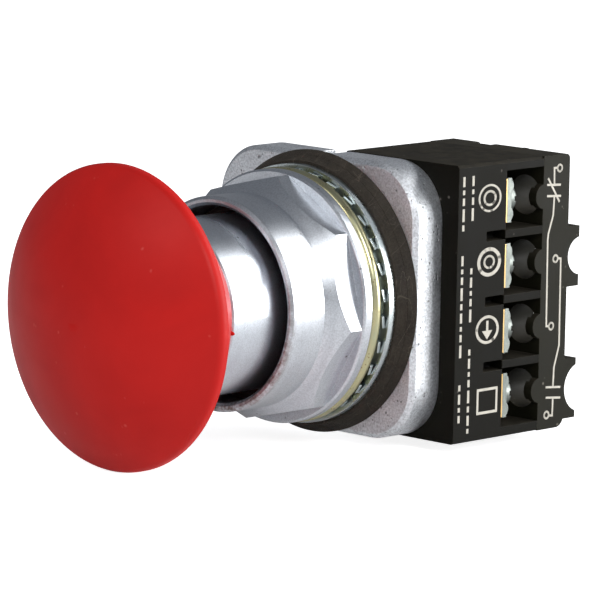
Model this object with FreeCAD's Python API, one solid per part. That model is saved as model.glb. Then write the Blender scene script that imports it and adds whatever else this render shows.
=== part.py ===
import FreeCAD, Part
import math
import os

# Heavy-duty 30 mm emergency stop operator with a red mushroom head and one screwed contact block.
# Lengths are in millimetres. +Y runs along the push direction, from the head towards the block.
# Y = 0 is the front face of the square plate, +Z is up, and the wire terminals face +X.

# ---- clearances ----
RUN = 0.05          # radial gap of a running fit
TOUCH = 0.02        # gap left between faces that rest on each other
STOP = 0.05         # gap left at the end of a stroke
LOOSE = 0.2         # clearance of a hole round a part it does not guide

# ---- stroke ----
TRAVEL = 5.5

# ---- mushroom head ----
HEAD_RADIUS = 22.5
HEAD_RIM_Y = -41.1          # widest circle of the head
HEAD_DOME = 8.5             # height of the dome in front of the widest circle
HEAD_EDGE_RADIUS = 1.3
HEAD_BAND = 0.7             # straight band behind the widest circle
HEAD_SPIGOT_LENGTH = 4.0

# ---- sleeve, shaft and pusher ----
SLEEVE_RADIUS = 13.3
SLEEVE_WALL = 2.0
SLEEVE_FRONT_Y = -30.6
SLEEVE_LIP = 0.5
SHAFT_RADIUS = 3.0
SHAFT_FRONT_Y = -39.0
SHAFT_COLLAR_RADIUS = 4.6
SHAFT_COLLAR_LENGTH = 2.4
SHAFT_END_RADIUS = 2.2
DETENT_GROOVE_DEPTH = 0.35
INSERT_RADIUS = 5.0
INSERT_LENGTH = 6.5
PUSHER_RADIUS = 12.5
PUSHER_CLEARANCE = 0.85
PUSHER_OVERTRAVEL = 0.15
PUSHER_THICK = 2.15
CLIP_RADIUS = 3.9
CLIP_THICK = 0.6
PUSHER_RECESS_RADIUS = 4.4
PUSHER_RECESS_DEPTH = 1.05
CLIP_GROOVE_DEPTH = 0.4
CLIP_MOUTH = 2.6

# ---- die-cast housing ----
PLATE_WIDTH = 41.3
PLATE_HEIGHT = 41.6
PLATE_THICK = 5.75
PLATE_CORNER_RADIUS = 8.6
PLATE_BEVEL = 0.7
NECK_RADIUS = 15.0
NECK_LENGTH = 13.8
WEB_THICK = 2.0
HUB_RADIUS = 8.0
HUB_LENGTH = 12.0
NOTCH_WIDTH = 3.0           # index notch in the top edge of the plate
NOTCH_DEPTH = 1.0
NOTCH_LENGTH = 3.4
RIB_WIDTH = 0.9             # ribs between the two block seats
RIB_HEIGHT = 2.6
RIB_LENGTH = 6.2

# ---- detent ----
BALL_RADIUS = 1.5
BALL_COUNT = 3
GARTER_RADIUS = 0.8
GARTER_WIRE_GAP = 0.08

# ---- ring nut ----
NUT_FRONT_Y = -21.0
NUT_COLLAR_RADIUS = 16.05
NUT_BORE_RADIUS = 14.7
NUT_CONE_FRONT_Y = -14.2
NUT_CONE_REAR_Y = -11.1
NUT_VERTEX_RADIUS = 18.75
NUT_FLATS = 8
NUT_TURN = 8.5              # angle of one corner from +Z towards +X
NUT_FLANGE_FRONT_Y = -8.8
NUT_FLANGE_RADIUS = 19.05
NUT_REAR_Y = -6.9
NUT_LIP = 0.45
NUT_EDGE = 0.3

# ---- washers, gaskets and seal ----
WASHER_BORE_CLEARANCE = 0.12
THRUST_RADIUS = 19.2
THRUST_THICK = 1.9
LOCK_BODY_RADIUS = 17.6
LOCK_TOOTH_RADIUS = 18.9
LOCK_THICK = 0.5
LOCK_TEETH = 30
LOCK_TOOTH_WIDTH = 2.4
LOCK_TWIST = 12.0
ZINC_RADIUS = 19.5
ZINC_THICK = 1.3
ZINC_FRONT_Y = -4.07
GASKET_REAR_RADIUS = 21.4
GASKET_TAPER = 0.75         # how much each gasket layer narrows towards the front
GASKET_REAR_THICK = 1.33
SEAL_OUTER_RADIUS = 14.55
SEAL_LENGTH = 1.8

# ---- contact block, outside ----
BLOCK_INNER_X = 0.55
BLOCK_OUTER_X = 23.8
BLOCK_HEIGHT = 41.8
BLOCK_SEAM_Y = 24.6
BLOCK_REAR_Y = 30.5
BLOCK_WALL = 1.5
BLOCK_EDGE = 0.4
COVER_TOP_RADIUS = 0.8
COVER_BOTTOM_RADIUS = 1.7
COVER_NOTCH_X = 5.6         # notch in the top rear edge of the cover
COVER_NOTCH_WIDTH = 3.8
COVER_NOTCH_DEPTH = 1.1
COVER_NOTCH_LENGTH = 2.0
COVER_REAR_WALL = 1.5

# ---- terminals ----
TERMINAL_PITCH = 9.85
DIVIDER_THICK = 1.2
DIVIDER_INNER_X = 15.5
POCKET_FLOOR_Y = 16.3
PARTITION_X = 14.2
PARTITION_THICK = 1.2
LATCH_SLOT_LENGTH = 4.2
LATCH_SLOT_WIDTH = 1.5
LATCH_SLOT_DEPTH = 2.5
STRIP_THICK = 0.8
STRIP_PAD_SHARE = 0.67      # width of a strip's pad, as a share of the pitch
STRIP_OUTER_X = 23.3
SCREW_X = 20.2
SCREW_RADIUS = 1.75
SCREW_TIP_Y = 10.5
SCREW_HEAD_RADIUS = 2.5
SCREW_HEAD_Y = 18.5
SCREW_HEAD_HEIGHT = 1.8
SCREW_SLOT_WIDTH = 0.8
SCREW_SLOT_DEPTH = 0.9
CLAMP_THICK = 0.9
CLAMP_LENGTH = 6.6
CLAMP_RIDGE_RADIUS = 1.3    # pressed ridges that grip the wire
CLAMP_RIDGE_HEIGHT = 0.42
CLAMP_RIDGE_SHARE = 0.62    # distance of a ridge from the screw, as a share of the half width
DRIVER_HOLE_RADIUS = 3.0
BULGE_RADIUS = 1.9
BULGE_OFFSET = 0.3

# ---- ears on the rear of the cover ----
EAR_HEIGHT = 9.2
EAR_LENGTH = 2.6
EAR_THICK = 3.2
EAR_SCALLOP_DEPTH = 2.5
EARS = ((0.52, 2.9), (-1.54, 3.75))  # height in terminal pitches, scallop radius

# ---- block mounting screws and the seat for a second block ----
MOUNT_X = 13.5
MOUNT_Z = 16.7
MOUNT_SCREW_RADIUS = 1.6
MOUNT_TAP_RADIUS = 1.65
MOUNT_TAP_DEPTH = 4.6
MOUNT_COLUMN_RADIUS = 2.6
MOUNT_SEAT_Y = 21.0
MOUNT_HEAD_RADIUS = 2.45
MOUNT_HEAD_HEIGHT = 2.3
MOUNT_BOSS_RADIUS = 3.9
MOUNT_BOSS_HEIGHT = 1.5

# ---- switching parts ----
PLUNGER_RADIUS = 1.6
STEM_RADIUS = 1.1
STEM_END_Y = 22.0
GUIDE_WALL = 1.2
NC_X = 5.0
NO_X = 9.5
NC_MIDDLE = 0.54            # heights below are in terminal pitches
NC_HALF_SPAN = 0.59
NO_MIDDLE = -0.467
NO_HALF_SPAN = 0.79
NC_ARM = 0.34
NO_ARM = 0.264
ARM_OVERHANG = 1.6
BRIDGE_WIDTH = 3.0
BRIDGE_THICK = 0.8
TIP_RADIUS = 1.2
TIP_THICK = 0.5
SPACER_RADIUS = 1.7
SPACER_FLANGE_RADIUS = 2.0
SPACER_FLANGE_THICK = 0.6
SPACER_END_Y = 20.6
SPRING_RADIUS = 1.7
SPRING_WIRE = 0.25
SPRING_TURNS = 6

# ---- sizes that follow from the ones above ----
HEAD_APEX_Y = HEAD_RIM_Y - HEAD_DOME
HEAD_BAND_Y = HEAD_RIM_Y + HEAD_BAND
SLEEVE_BORE = SLEEVE_RADIUS - SLEEVE_WALL
GUIDE_BORE = SLEEVE_RADIUS + RUN
PUSHER_REAR_Y = PLATE_THICK - TRAVEL - PUSHER_OVERTRAVEL
PUSHER_FRONT_Y = PUSHER_REAR_Y - PUSHER_THICK
WEB_REAR_Y = PUSHER_FRONT_Y - STOP
WEB_FRONT_Y = WEB_REAR_Y - WEB_THICK
SLEEVE_REAR_Y = WEB_FRONT_Y - TRAVEL - LOOSE * 2
HUB_FRONT_Y = WEB_REAR_Y - HUB_LENGTH
BALL_Y = (HUB_FRONT_Y + WEB_FRONT_Y) / 2 + BALL_RADIUS
BALL_CENTRE_RADIUS = SHAFT_RADIUS + BALL_RADIUS + TOUCH
GARTER_CENTRE_RADIUS = BALL_CENTRE_RADIUS + BALL_RADIUS + GARTER_RADIUS + GARTER_WIRE_GAP
SHAFT_COLLAR_REAR_Y = HUB_FRONT_Y - TRAVEL - STOP
CLIP_FRONT_Y = PUSHER_REAR_Y - PUSHER_RECESS_DEPTH + TOUCH
SHAFT_REAR_Y = PUSHER_REAR_Y - STOP
NUT_FLAT_RADIUS = NUT_VERTEX_RADIUS * math.cos(math.pi / NUT_FLATS)
WASHER_BORE = NECK_RADIUS + WASHER_BORE_CLEARANCE
THRUST_FRONT_Y = NUT_REAR_Y + TOUCH
THRUST_REAR_Y = THRUST_FRONT_Y + THRUST_THICK
LOCK_MIDDLE_Y = (THRUST_REAR_Y + ZINC_FRONT_Y) / 2
LOCK_SPACE = ZINC_FRONT_Y - THRUST_REAR_Y - 2 * TOUCH
ZINC_REAR_Y = ZINC_FRONT_Y + ZINC_THICK
GASKET_SPLIT_Y = -GASKET_REAR_THICK
BLOCK_FRONT_Y = PLATE_THICK + TOUCH
BLOCK_HALF = BLOCK_HEIGHT / 2
HOUSING_REAR_Y = BLOCK_SEAM_Y - TOUCH
FRONT_WALL_Y = BLOCK_FRONT_Y + BLOCK_WALL
CHAMBER_X = BLOCK_INNER_X + BLOCK_WALL
CHAMBER_HALF = BLOCK_HALF - BLOCK_WALL
PARTITION_OUTER_X = PARTITION_X + PARTITION_THICK
COVER_INNER_Y = BLOCK_REAR_Y - COVER_REAR_WALL
TERMINALS = [TERMINAL_PITCH * step for step in (1.5, 0.5, -0.5, -1.5)]
DIVIDERS = [TERMINAL_PITCH * step for step in (1, 0, -1)]
STRIP_FRONT_Y = POCKET_FLOOR_Y + TOUCH
STRIP_REAR_Y = STRIP_FRONT_Y + STRIP_THICK
PAD_HALF = STRIP_PAD_SHARE * TERMINAL_PITCH / 2
CLAMP_FRONT_Y = STRIP_REAR_Y + TOUCH
CLAMP_HALF = PAD_HALF + RUN
NC_Z = NC_MIDDLE * TERMINAL_PITCH
NO_Z = NO_MIDDLE * TERMINAL_PITCH
NC_TIPS = [NC_Z + side * NC_HALF_SPAN * TERMINAL_PITCH for side in (1, -1)]
NO_TIPS = [NO_Z + side * NO_HALF_SPAN * TERMINAL_PITCH for side in (1, -1)]
PLUNGER_FRONT_Y = PUSHER_REAR_Y + STOP
NC_FIXED_REAR_Y = STRIP_REAR_Y + TIP_THICK
NC_BRIDGE_Y = NC_FIXED_REAR_Y + TOUCH + TIP_THICK
NO_FIXED_FRONT_Y = STRIP_FRONT_Y - TIP_THICK
NO_BRIDGE_REAR_Y = NO_FIXED_FRONT_Y - STOP - TRAVEL - TIP_THICK
NO_BRIDGE_Y = NO_BRIDGE_REAR_Y - BRIDGE_THICK
GUIDE_END_Y = NO_BRIDGE_Y - LOOSE
ARM_INNER_NC = NC_X - ARM_OVERHANG
ARM_INNER_NO = NO_X - ARM_OVERHANG
STRIP_CORNER_X = PARTITION_X - ARM_OVERHANG


def point(x, y, z):
    return FreeCAD.Vector(x, y, z)


def rod(radius, front, rear, x=0.0, z=0.0):
    """Cylinder along Y."""
    return Part.makeCylinder(radius, rear - front, point(x, front, z), point(0, 1, 0))


def ring(outer, inner, front, rear, x=0.0, z=0.0):
    """Tube along Y."""
    return rod(outer, front, rear, x, z).cut(rod(inner, front - 1, rear + 1, x, z))


def box(x0, x1, y0, y1, z0, z1):
    return Part.makeBox(x1 - x0, y1 - y0, z1 - z0, point(x0, y0, z0))


def lathe(edges):
    """Solid of revolution about Y from a closed chain of edges in the X = radius, Y plane."""
    face = Part.Face(Part.Wire(edges))
    return face.revolve(point(0, 0, 0), point(0, 1, 0), 360)


def turned(profile):
    """Solid of revolution from a list of (radius, y) corners."""
    corners = [point(radius, y, 0) for radius, y in profile]
    return lathe(Part.makePolygon(corners + corners[:1]).Edges)


def fuse(shapes):
    whole = shapes[0]
    for shape in shapes[1:]:
        whole = whole.fuse(shape)
    return whole.removeSplitter()


def cut(shape, tools):
    for tool in tools:
        shape = shape.cut(tool)
    return shape


def turn_about_y(shape, degrees):
    """Copy of a shape turned from +Z towards +X about the push axis."""
    copy = shape.copy()
    copy.rotate(point(0, 0, 0), point(0, 1, 0), degrees)
    return copy


# ---------------------------------------------------------------- moving head

def mushroom_head():
    """Domed head with a rounded edge, a conical underside and a spigot into the sleeve."""
    edge_centre_r = HEAD_RADIUS - HEAD_EDGE_RADIUS
    dome_radius = (edge_centre_r ** 2 + HEAD_DOME ** 2 - HEAD_EDGE_RADIUS ** 2)
    dome_radius = dome_radius / (2 * (HEAD_DOME - HEAD_EDGE_RADIUS))
    centre_y = HEAD_APEX_Y + dome_radius
    lean = math.atan2(edge_centre_r, centre_y - HEAD_RIM_Y)

    def on_dome(angle):
        return point(dome_radius * math.sin(angle), centre_y - dome_radius * math.cos(angle), 0)

    def on_edge(angle):
        return point(edge_centre_r + HEAD_EDGE_RADIUS * math.sin(angle),
                     HEAD_RIM_Y - HEAD_EDGE_RADIUS * math.cos(angle), 0)

    middle = (lean + math.pi / 2) / 2
    apex = point(0, HEAD_APEX_Y, 0)
    joint = on_dome(lean)
    rim = point(HEAD_RADIUS, HEAD_RIM_Y, 0)
    band = point(HEAD_RADIUS, HEAD_BAND_Y, 0)
    spigot_r = SLEEVE_BORE - RUN
    spigot_rear = SLEEVE_FRONT_Y + HEAD_SPIGOT_LENGTH
    bore_r = INSERT_RADIUS + RUN
    bore_y = SHAFT_FRONT_Y - LOOSE
    corners = [band,
               point(SLEEVE_RADIUS, SLEEVE_FRONT_Y - TOUCH, 0),
               point(spigot_r, SLEEVE_FRONT_Y - TOUCH, 0),
               point(spigot_r, spigot_rear, 0),
               point(bore_r, spigot_rear, 0),
               point(bore_r, bore_y, 0),
               point(0, bore_y, 0),
               apex]
    edges = [Part.Arc(apex, on_dome(lean / 2), joint).toShape(),
             Part.Arc(joint, on_edge(middle), rim).toShape(),
             Part.makeLine(rim, band)]
    for start, end in zip(corners[:-1], corners[1:]):
        edges.append(Part.makeLine(start, end))
    return lathe(edges)


def head_insert():
    """Threaded insert moulded into the head, which the shaft screws into."""
    rear = SLEEVE_FRONT_Y + HEAD_SPIGOT_LENGTH
    return ring(INSERT_RADIUS, SHAFT_RADIUS + TOUCH, rear - INSERT_LENGTH, rear)


def plunger_sleeve():
    """Polished tube that carries the head and runs in the bore of the neck."""
    return turned([(SLEEVE_BORE, SLEEVE_FRONT_Y),
                   (SLEEVE_RADIUS - SLEEVE_LIP, SLEEVE_FRONT_Y),
                   (SLEEVE_RADIUS, SLEEVE_FRONT_Y + SLEEVE_LIP),
                   (SLEEVE_RADIUS, SLEEVE_REAR_Y),
                   (SLEEVE_BORE, SLEEVE_REAR_Y)])


def detent_groove(y):
    """Ring-shaped groove cutter for the detent balls."""
    bottom = SHAFT_RADIUS - DETENT_GROOVE_DEPTH
    outside = SHAFT_RADIUS + DETENT_GROOVE_DEPTH
    half = BALL_RADIUS / 2 + DETENT_GROOVE_DEPTH
    return turned([(bottom, y - BALL_RADIUS / 2), (outside, y - half - DETENT_GROOVE_DEPTH),
                   (outside, y + half + DETENT_GROOVE_DEPTH), (bottom, y + BALL_RADIUS / 2)])


def plunger_shaft():
    """Centre shaft with a stop collar, two detent grooves and a reduced end for the pusher."""
    body = rod(SHAFT_RADIUS, SHAFT_FRONT_Y, PUSHER_FRONT_Y)
    collar = rod(SHAFT_COLLAR_RADIUS, SHAFT_COLLAR_REAR_Y - SHAFT_COLLAR_LENGTH, SHAFT_COLLAR_REAR_Y)
    end = rod(SHAFT_END_RADIUS, PUSHER_FRONT_Y, SHAFT_REAR_Y)
    shaft = fuse([body, collar, end])
    grooves = [detent_groove(BALL_Y), detent_groove(BALL_Y - TRAVEL)]
    clip_groove = ring(SHAFT_END_RADIUS + 1, SHAFT_END_RADIUS - CLIP_GROOVE_DEPTH,
                       CLIP_FRONT_Y - TOUCH, CLIP_FRONT_Y + CLIP_THICK + TOUCH)
    return cut(shaft, grooves + [clip_groove])


def pusher_plate():
    """Round plate behind the web that pushes the block plungers, recessed for its clip."""
    plate = ring(PUSHER_RADIUS, SHAFT_END_RADIUS + TOUCH, PUSHER_FRONT_Y + TOUCH, PUSHER_REAR_Y)
    return plate.cut(rod(PUSHER_RECESS_RADIUS, PUSHER_REAR_Y - PUSHER_RECESS_DEPTH, PUSHER_REAR_Y + 1))


def retaining_clip():
    """Open clip in the shaft groove, sunk in the recess of the pusher plate."""
    inner = SHAFT_END_RADIUS - CLIP_GROOVE_DEPTH + TOUCH
    clip = ring(CLIP_RADIUS, inner, CLIP_FRONT_Y, CLIP_FRONT_Y + CLIP_THICK)
    mouth = box(-CLIP_MOUTH / 2, CLIP_MOUTH / 2, CLIP_FRONT_Y - 1, CLIP_FRONT_Y + 1 + CLIP_THICK,
                -CLIP_RADIUS - 1, 0)
    return clip.cut(mouth)


# ---------------------------------------------------------------- fixed operator

def square_plate():
    """Square plate with rounded corners and a bevelled front edge."""
    half_x = PLATE_WIDTH / 2
    half_z = PLATE_HEIGHT / 2
    plate = box(-half_x, half_x, 0, PLATE_THICK, -half_z, half_z)
    upright = [e for e in plate.Edges if abs(e.Length - PLATE_THICK) < 1e-6]
    plate = plate.makeFillet(PLATE_CORNER_RADIUS, upright)
    front = [e for e in plate.Edges if max(v.Y for v in e.Vertexes) < 1e-6]
    return plate.makeChamfer(PLATE_BEVEL, front)


def block_seat_holes():
    """Tapped holes for the screws of the fitted block and of a second one."""
    holes = []
    for x in (MOUNT_X, -MOUNT_X):
        for z in (MOUNT_Z, -MOUNT_Z):
            holes.append(rod(MOUNT_TAP_RADIUS, PLATE_THICK - MOUNT_TAP_DEPTH, PLATE_THICK + 1, x, z))
    return holes


def seat_ribs():
    """Two short ribs on the plate's rear face that part the two block seats."""
    half_z = PLATE_HEIGHT / 2 - PLATE_BEVEL
    ribs = []
    for z0, z1 in ((half_z - RIB_LENGTH, half_z), (-half_z, RIB_LENGTH - half_z)):
        ribs.append(box(-RIB_WIDTH / 2, RIB_WIDTH / 2, PLATE_THICK - 1, PLATE_THICK + RIB_HEIGHT, z0, z1))
    return ribs


def ball_holes():
    """Radial holes through the hub for the detent balls."""
    holes = []
    for index in range(BALL_COUNT):
        hole = Part.makeCylinder(BALL_RADIUS + RUN, HUB_RADIUS + 1, point(0, BALL_Y, 0), point(0, 0, 1))
        holes.append(turn_about_y(hole, index * 360 / BALL_COUNT))
    return holes


def operator_housing():
    """Die casting: square plate, neck, web and shaft hub in one piece."""
    plate = fuse([square_plate()] + seat_ribs())
    neck = rod(NECK_RADIUS, -NECK_LENGTH, PLATE_THICK / 2)
    outer = fuse([plate, neck])
    sleeve_bore = rod(GUIDE_BORE, -NECK_LENGTH - 1, WEB_FRONT_Y)
    pusher_bore = rod(PUSHER_RADIUS + PUSHER_CLEARANCE, WEB_FRONT_Y, PLATE_THICK + 1)
    shell = cut(outer, [sleeve_bore, pusher_bore])
    web = rod((NECK_RADIUS + max(GUIDE_BORE, PUSHER_RADIUS + PUSHER_CLEARANCE)) / 2, WEB_FRONT_Y, WEB_REAR_Y)
    hub = rod(HUB_RADIUS, HUB_FRONT_Y, WEB_REAR_Y)
    housing = fuse([shell, web, hub])
    bore = rod(SHAFT_RADIUS + RUN, HUB_FRONT_Y - 1, WEB_REAR_Y + 1)
    garter_inner = GARTER_CENTRE_RADIUS - GARTER_RADIUS - GARTER_WIRE_GAP / 2
    garter_half = GARTER_RADIUS + RUN
    garter = ring(HUB_RADIUS + 1, garter_inner, BALL_Y - garter_half, BALL_Y + garter_half)
    notch = box(-NOTCH_WIDTH / 2, NOTCH_WIDTH / 2, PLATE_THICK - NOTCH_LENGTH, PLATE_THICK,
                PLATE_HEIGHT / 2 - NOTCH_DEPTH, PLATE_HEIGHT / 2 + 1)
    return cut(housing, [bore, garter, notch] + ball_holes() + block_seat_holes())


def detent_balls():
    balls = []
    for index in range(BALL_COUNT):
        ball = Part.makeSphere(BALL_RADIUS, point(0, BALL_Y, BALL_CENTRE_RADIUS))
        balls.append(turn_about_y(ball, index * 360 / BALL_COUNT))
    return Part.makeCompound(balls)


def garter_spring():
    """Closed spring round the hub that presses the balls onto the shaft."""
    return Part.makeTorus(GARTER_CENTRE_RADIUS, GARTER_RADIUS, point(0, BALL_Y, 0), point(0, 1, 0))


def ring_nut():
    """Nut with a plain collar, a flared cone, wrench flats and a round flange."""
    body = turned([(0, NUT_FRONT_Y),
                   (NUT_COLLAR_RADIUS - NUT_LIP, NUT_FRONT_Y),
                   (NUT_COLLAR_RADIUS, NUT_FRONT_Y + NUT_LIP),
                   (NUT_COLLAR_RADIUS, NUT_CONE_FRONT_Y),
                   (NUT_VERTEX_RADIUS, NUT_CONE_REAR_Y),
                   (NUT_VERTEX_RADIUS, NUT_FLANGE_FRONT_Y),
                   (0, NUT_FLANGE_FRONT_Y)])
    corners = []
    for index in range(NUT_FLATS + 1):
        angle = math.radians(NUT_TURN + index * 360 / NUT_FLATS)
        corners.append(point(NUT_VERTEX_RADIUS * math.sin(angle), NUT_FRONT_Y - 1,
                             NUT_VERTEX_RADIUS * math.cos(angle)))
    outline = Part.Face(Part.makePolygon(corners))
    prism = outline.extrude(point(0, NUT_FLANGE_FRONT_Y - NUT_FRONT_Y + 1, 0))
    flange = turned([(0, NUT_FLANGE_FRONT_Y),
                     (NUT_FLANGE_RADIUS - NUT_EDGE, NUT_FLANGE_FRONT_Y),
                     (NUT_FLANGE_RADIUS, NUT_FLANGE_FRONT_Y + NUT_EDGE),
                     (NUT_FLANGE_RADIUS, NUT_REAR_Y - NUT_EDGE),
                     (NUT_FLANGE_RADIUS - NUT_EDGE, NUT_REAR_Y),
                     (0, NUT_REAR_Y)])
    nut = fuse([body.common(prism), flange])
    collar_bore = turned([(0, NUT_FRONT_Y - 1),
                          (NUT_BORE_RADIUS + NUT_LIP + 1, NUT_FRONT_Y - 1),
                          (NUT_BORE_RADIUS, NUT_FRONT_Y + NUT_LIP),
                          (NUT_BORE_RADIUS, -NECK_LENGTH),
                          (0, -NECK_LENGTH)])
    thread = rod(NECK_RADIUS + RUN, -NECK_LENGTH - LOOSE, NUT_REAR_Y + 1)
    return cut(nut, [collar_bore, thread])


def thrust_washer():
    """Thick washer with a rounded outer edge, straight behind the nut."""
    middle = (THRUST_FRONT_Y + THRUST_REAR_Y) / 2
    flat_r = THRUST_RADIUS - THRUST_THICK / 2
    corners = [point(flat_r, THRUST_REAR_Y, 0),
               point(WASHER_BORE, THRUST_REAR_Y, 0),
               point(WASHER_BORE, THRUST_FRONT_Y, 0),
               point(flat_r, THRUST_FRONT_Y, 0)]
    edges = [Part.makeLine(a, b) for a, b in zip(corners[:-1], corners[1:])]
    edges.append(Part.Arc(corners[-1], point(THRUST_RADIUS, middle, 0), corners[0]).toShape())
    return lathe(edges)


def tooth_lock_washer():
    """Lock washer with twisted teeth round its outside."""
    half = LOCK_THICK / 2
    body = ring(LOCK_BODY_RADIUS, WASHER_BORE, LOCK_MIDDLE_Y - half, LOCK_MIDDLE_Y + half)
    reach = (LOCK_SPACE - LOCK_THICK * math.cos(math.radians(LOCK_TWIST))) / 2
    tooth_half = reach / math.sin(math.radians(LOCK_TWIST))
    tooth_half = min(tooth_half, LOCK_TOOTH_WIDTH / 2)
    shapes = [body]
    for index in range(LOCK_TEETH):
        tooth = box(-tooth_half, tooth_half, LOCK_MIDDLE_Y - half, LOCK_MIDDLE_Y + half,
                    LOCK_BODY_RADIUS - half, LOCK_TOOTH_RADIUS)
        tooth.rotate(point(0, LOCK_MIDDLE_Y, 0), point(0, 0, 1), LOCK_TWIST)
        shapes.append(turn_about_y(tooth, index * 360 / LOCK_TEETH))
    return fuse(shapes)


def zinc_washer():
    return ring(ZINC_RADIUS, WASHER_BORE, ZINC_FRONT_Y, ZINC_REAR_Y)


def gasket(front, rear, rear_radius):
    """One rubber layer with a conical outside, wider towards the plate."""
    return turned([(WASHER_BORE, front), (rear_radius - GASKET_TAPER, front),
                   (rear_radius, rear), (WASHER_BORE, rear)])


def gasket_front():
    radius = GASKET_REAR_RADIUS - GASKET_TAPER
    return gasket(ZINC_REAR_Y + TOUCH, GASKET_SPLIT_Y - TOUCH, radius)


def gasket_rear():
    return gasket(GASKET_SPLIT_Y, -TOUCH, GASKET_REAR_RADIUS)


def wiper_seal():
    """Rubber ring on the end of the neck that wipes the sleeve."""
    rear = -NECK_LENGTH - TOUCH
    front = rear - SEAL_LENGTH
    lip = SLEEVE_RADIUS + RUN
    return turned([(lip, front), (lip + SLEEVE_LIP, front), (SEAL_OUTER_RADIUS, front + SLEEVE_LIP),
                   (SEAL_OUTER_RADIUS, rear), (lip, rear)])


# ---------------------------------------------------------------- contact block

def block_housing():
    """Moulded box, open to the rear, with four wire pockets open to the side."""
    body = box(BLOCK_INNER_X, BLOCK_OUTER_X, BLOCK_FRONT_Y, HOUSING_REAR_Y, -BLOCK_HALF, BLOCK_HALF)
    long_edges = [e for e in body.Edges if abs(e.Length - (HOUSING_REAR_Y - BLOCK_FRONT_Y)) < 1e-6]
    body = body.makeChamfer(BLOCK_EDGE, long_edges)
    chamber = box(CHAMBER_X, PARTITION_X, FRONT_WALL_Y, HOUSING_REAR_Y + 1, -CHAMBER_HALF, CHAMBER_HALF)
    pockets = box(PARTITION_X, BLOCK_OUTER_X + 1, POCKET_FLOOR_Y, HOUSING_REAR_Y + 1,
                  -CHAMBER_HALF, CHAMBER_HALF)
    hollow = cut(body, [chamber, pockets])
    shapes = [hollow]
    for z in DIVIDERS:
        shapes.append(box(DIVIDER_INNER_X, BLOCK_OUTER_X, POCKET_FLOOR_Y - 1, HOUSING_REAR_Y,
                          z - DIVIDER_THICK / 2, z + DIVIDER_THICK / 2))
    for z in (MOUNT_Z, -MOUNT_Z):
        shapes.append(rod(MOUNT_COLUMN_RADIUS, FRONT_WALL_Y - 1, MOUNT_SEAT_Y, MOUNT_X, z))
    for x, z in ((NC_X, NC_Z), (NO_X, NO_Z)):
        shapes.append(rod(PLUNGER_RADIUS + GUIDE_WALL, FRONT_WALL_Y - 1, GUIDE_END_Y, x, z))
    housing = fuse(shapes)
    holes = []
    for z in (MOUNT_Z, -MOUNT_Z):
        holes.append(rod(MOUNT_SCREW_RADIUS + LOOSE, BLOCK_FRONT_Y - 1, MOUNT_SEAT_Y + 1, MOUNT_X, z))
    for x, z in ((NC_X, NC_Z), (NO_X, NO_Z)):
        holes.append(rod(PLUNGER_RADIUS + RUN, BLOCK_FRONT_Y - 1, GUIDE_END_Y + 1, x, z))
    for z in TERMINALS:
        holes.append(rod(SCREW_RADIUS + LOOSE, SCREW_TIP_Y - 1, POCKET_FLOOR_Y + 1, SCREW_X, z))
    for z in DIVIDERS:
        holes.append(box(BLOCK_OUTER_X - LATCH_SLOT_DEPTH, BLOCK_OUTER_X + 1,
                         POCKET_FLOOR_Y - LATCH_SLOT_LENGTH, POCKET_FLOOR_Y,
                         z - LATCH_SLOT_WIDTH / 2, z + LATCH_SLOT_WIDTH / 2))
    return cut(housing, holes)


def ear(height, scallop_radius):
    """Scalloped ear on the rear of the cover, flush with the terminal side."""
    z = height * TERMINAL_PITCH
    tab = box(BLOCK_OUTER_X - EAR_THICK, BLOCK_OUTER_X, BLOCK_REAR_Y - 1, BLOCK_REAR_Y + EAR_LENGTH,
              z - EAR_HEIGHT / 2, z + EAR_HEIGHT / 2)
    centre_y = BLOCK_REAR_Y + EAR_LENGTH - EAR_SCALLOP_DEPTH + scallop_radius
    scallop = Part.makeCylinder(scallop_radius, EAR_THICK + 2,
                                point(BLOCK_OUTER_X - EAR_THICK - 1, centre_y, z), point(1, 0, 0))
    return tab.cut(scallop)


def bulge(z):
    """Half-round tab on the front edge of the cover, over a terminal."""
    disc = Part.makeCylinder(BULGE_RADIUS, BLOCK_WALL, point(BLOCK_OUTER_X - BLOCK_WALL,
                             BLOCK_SEAM_Y + BULGE_OFFSET, z), point(1, 0, 0))
    return disc


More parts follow.
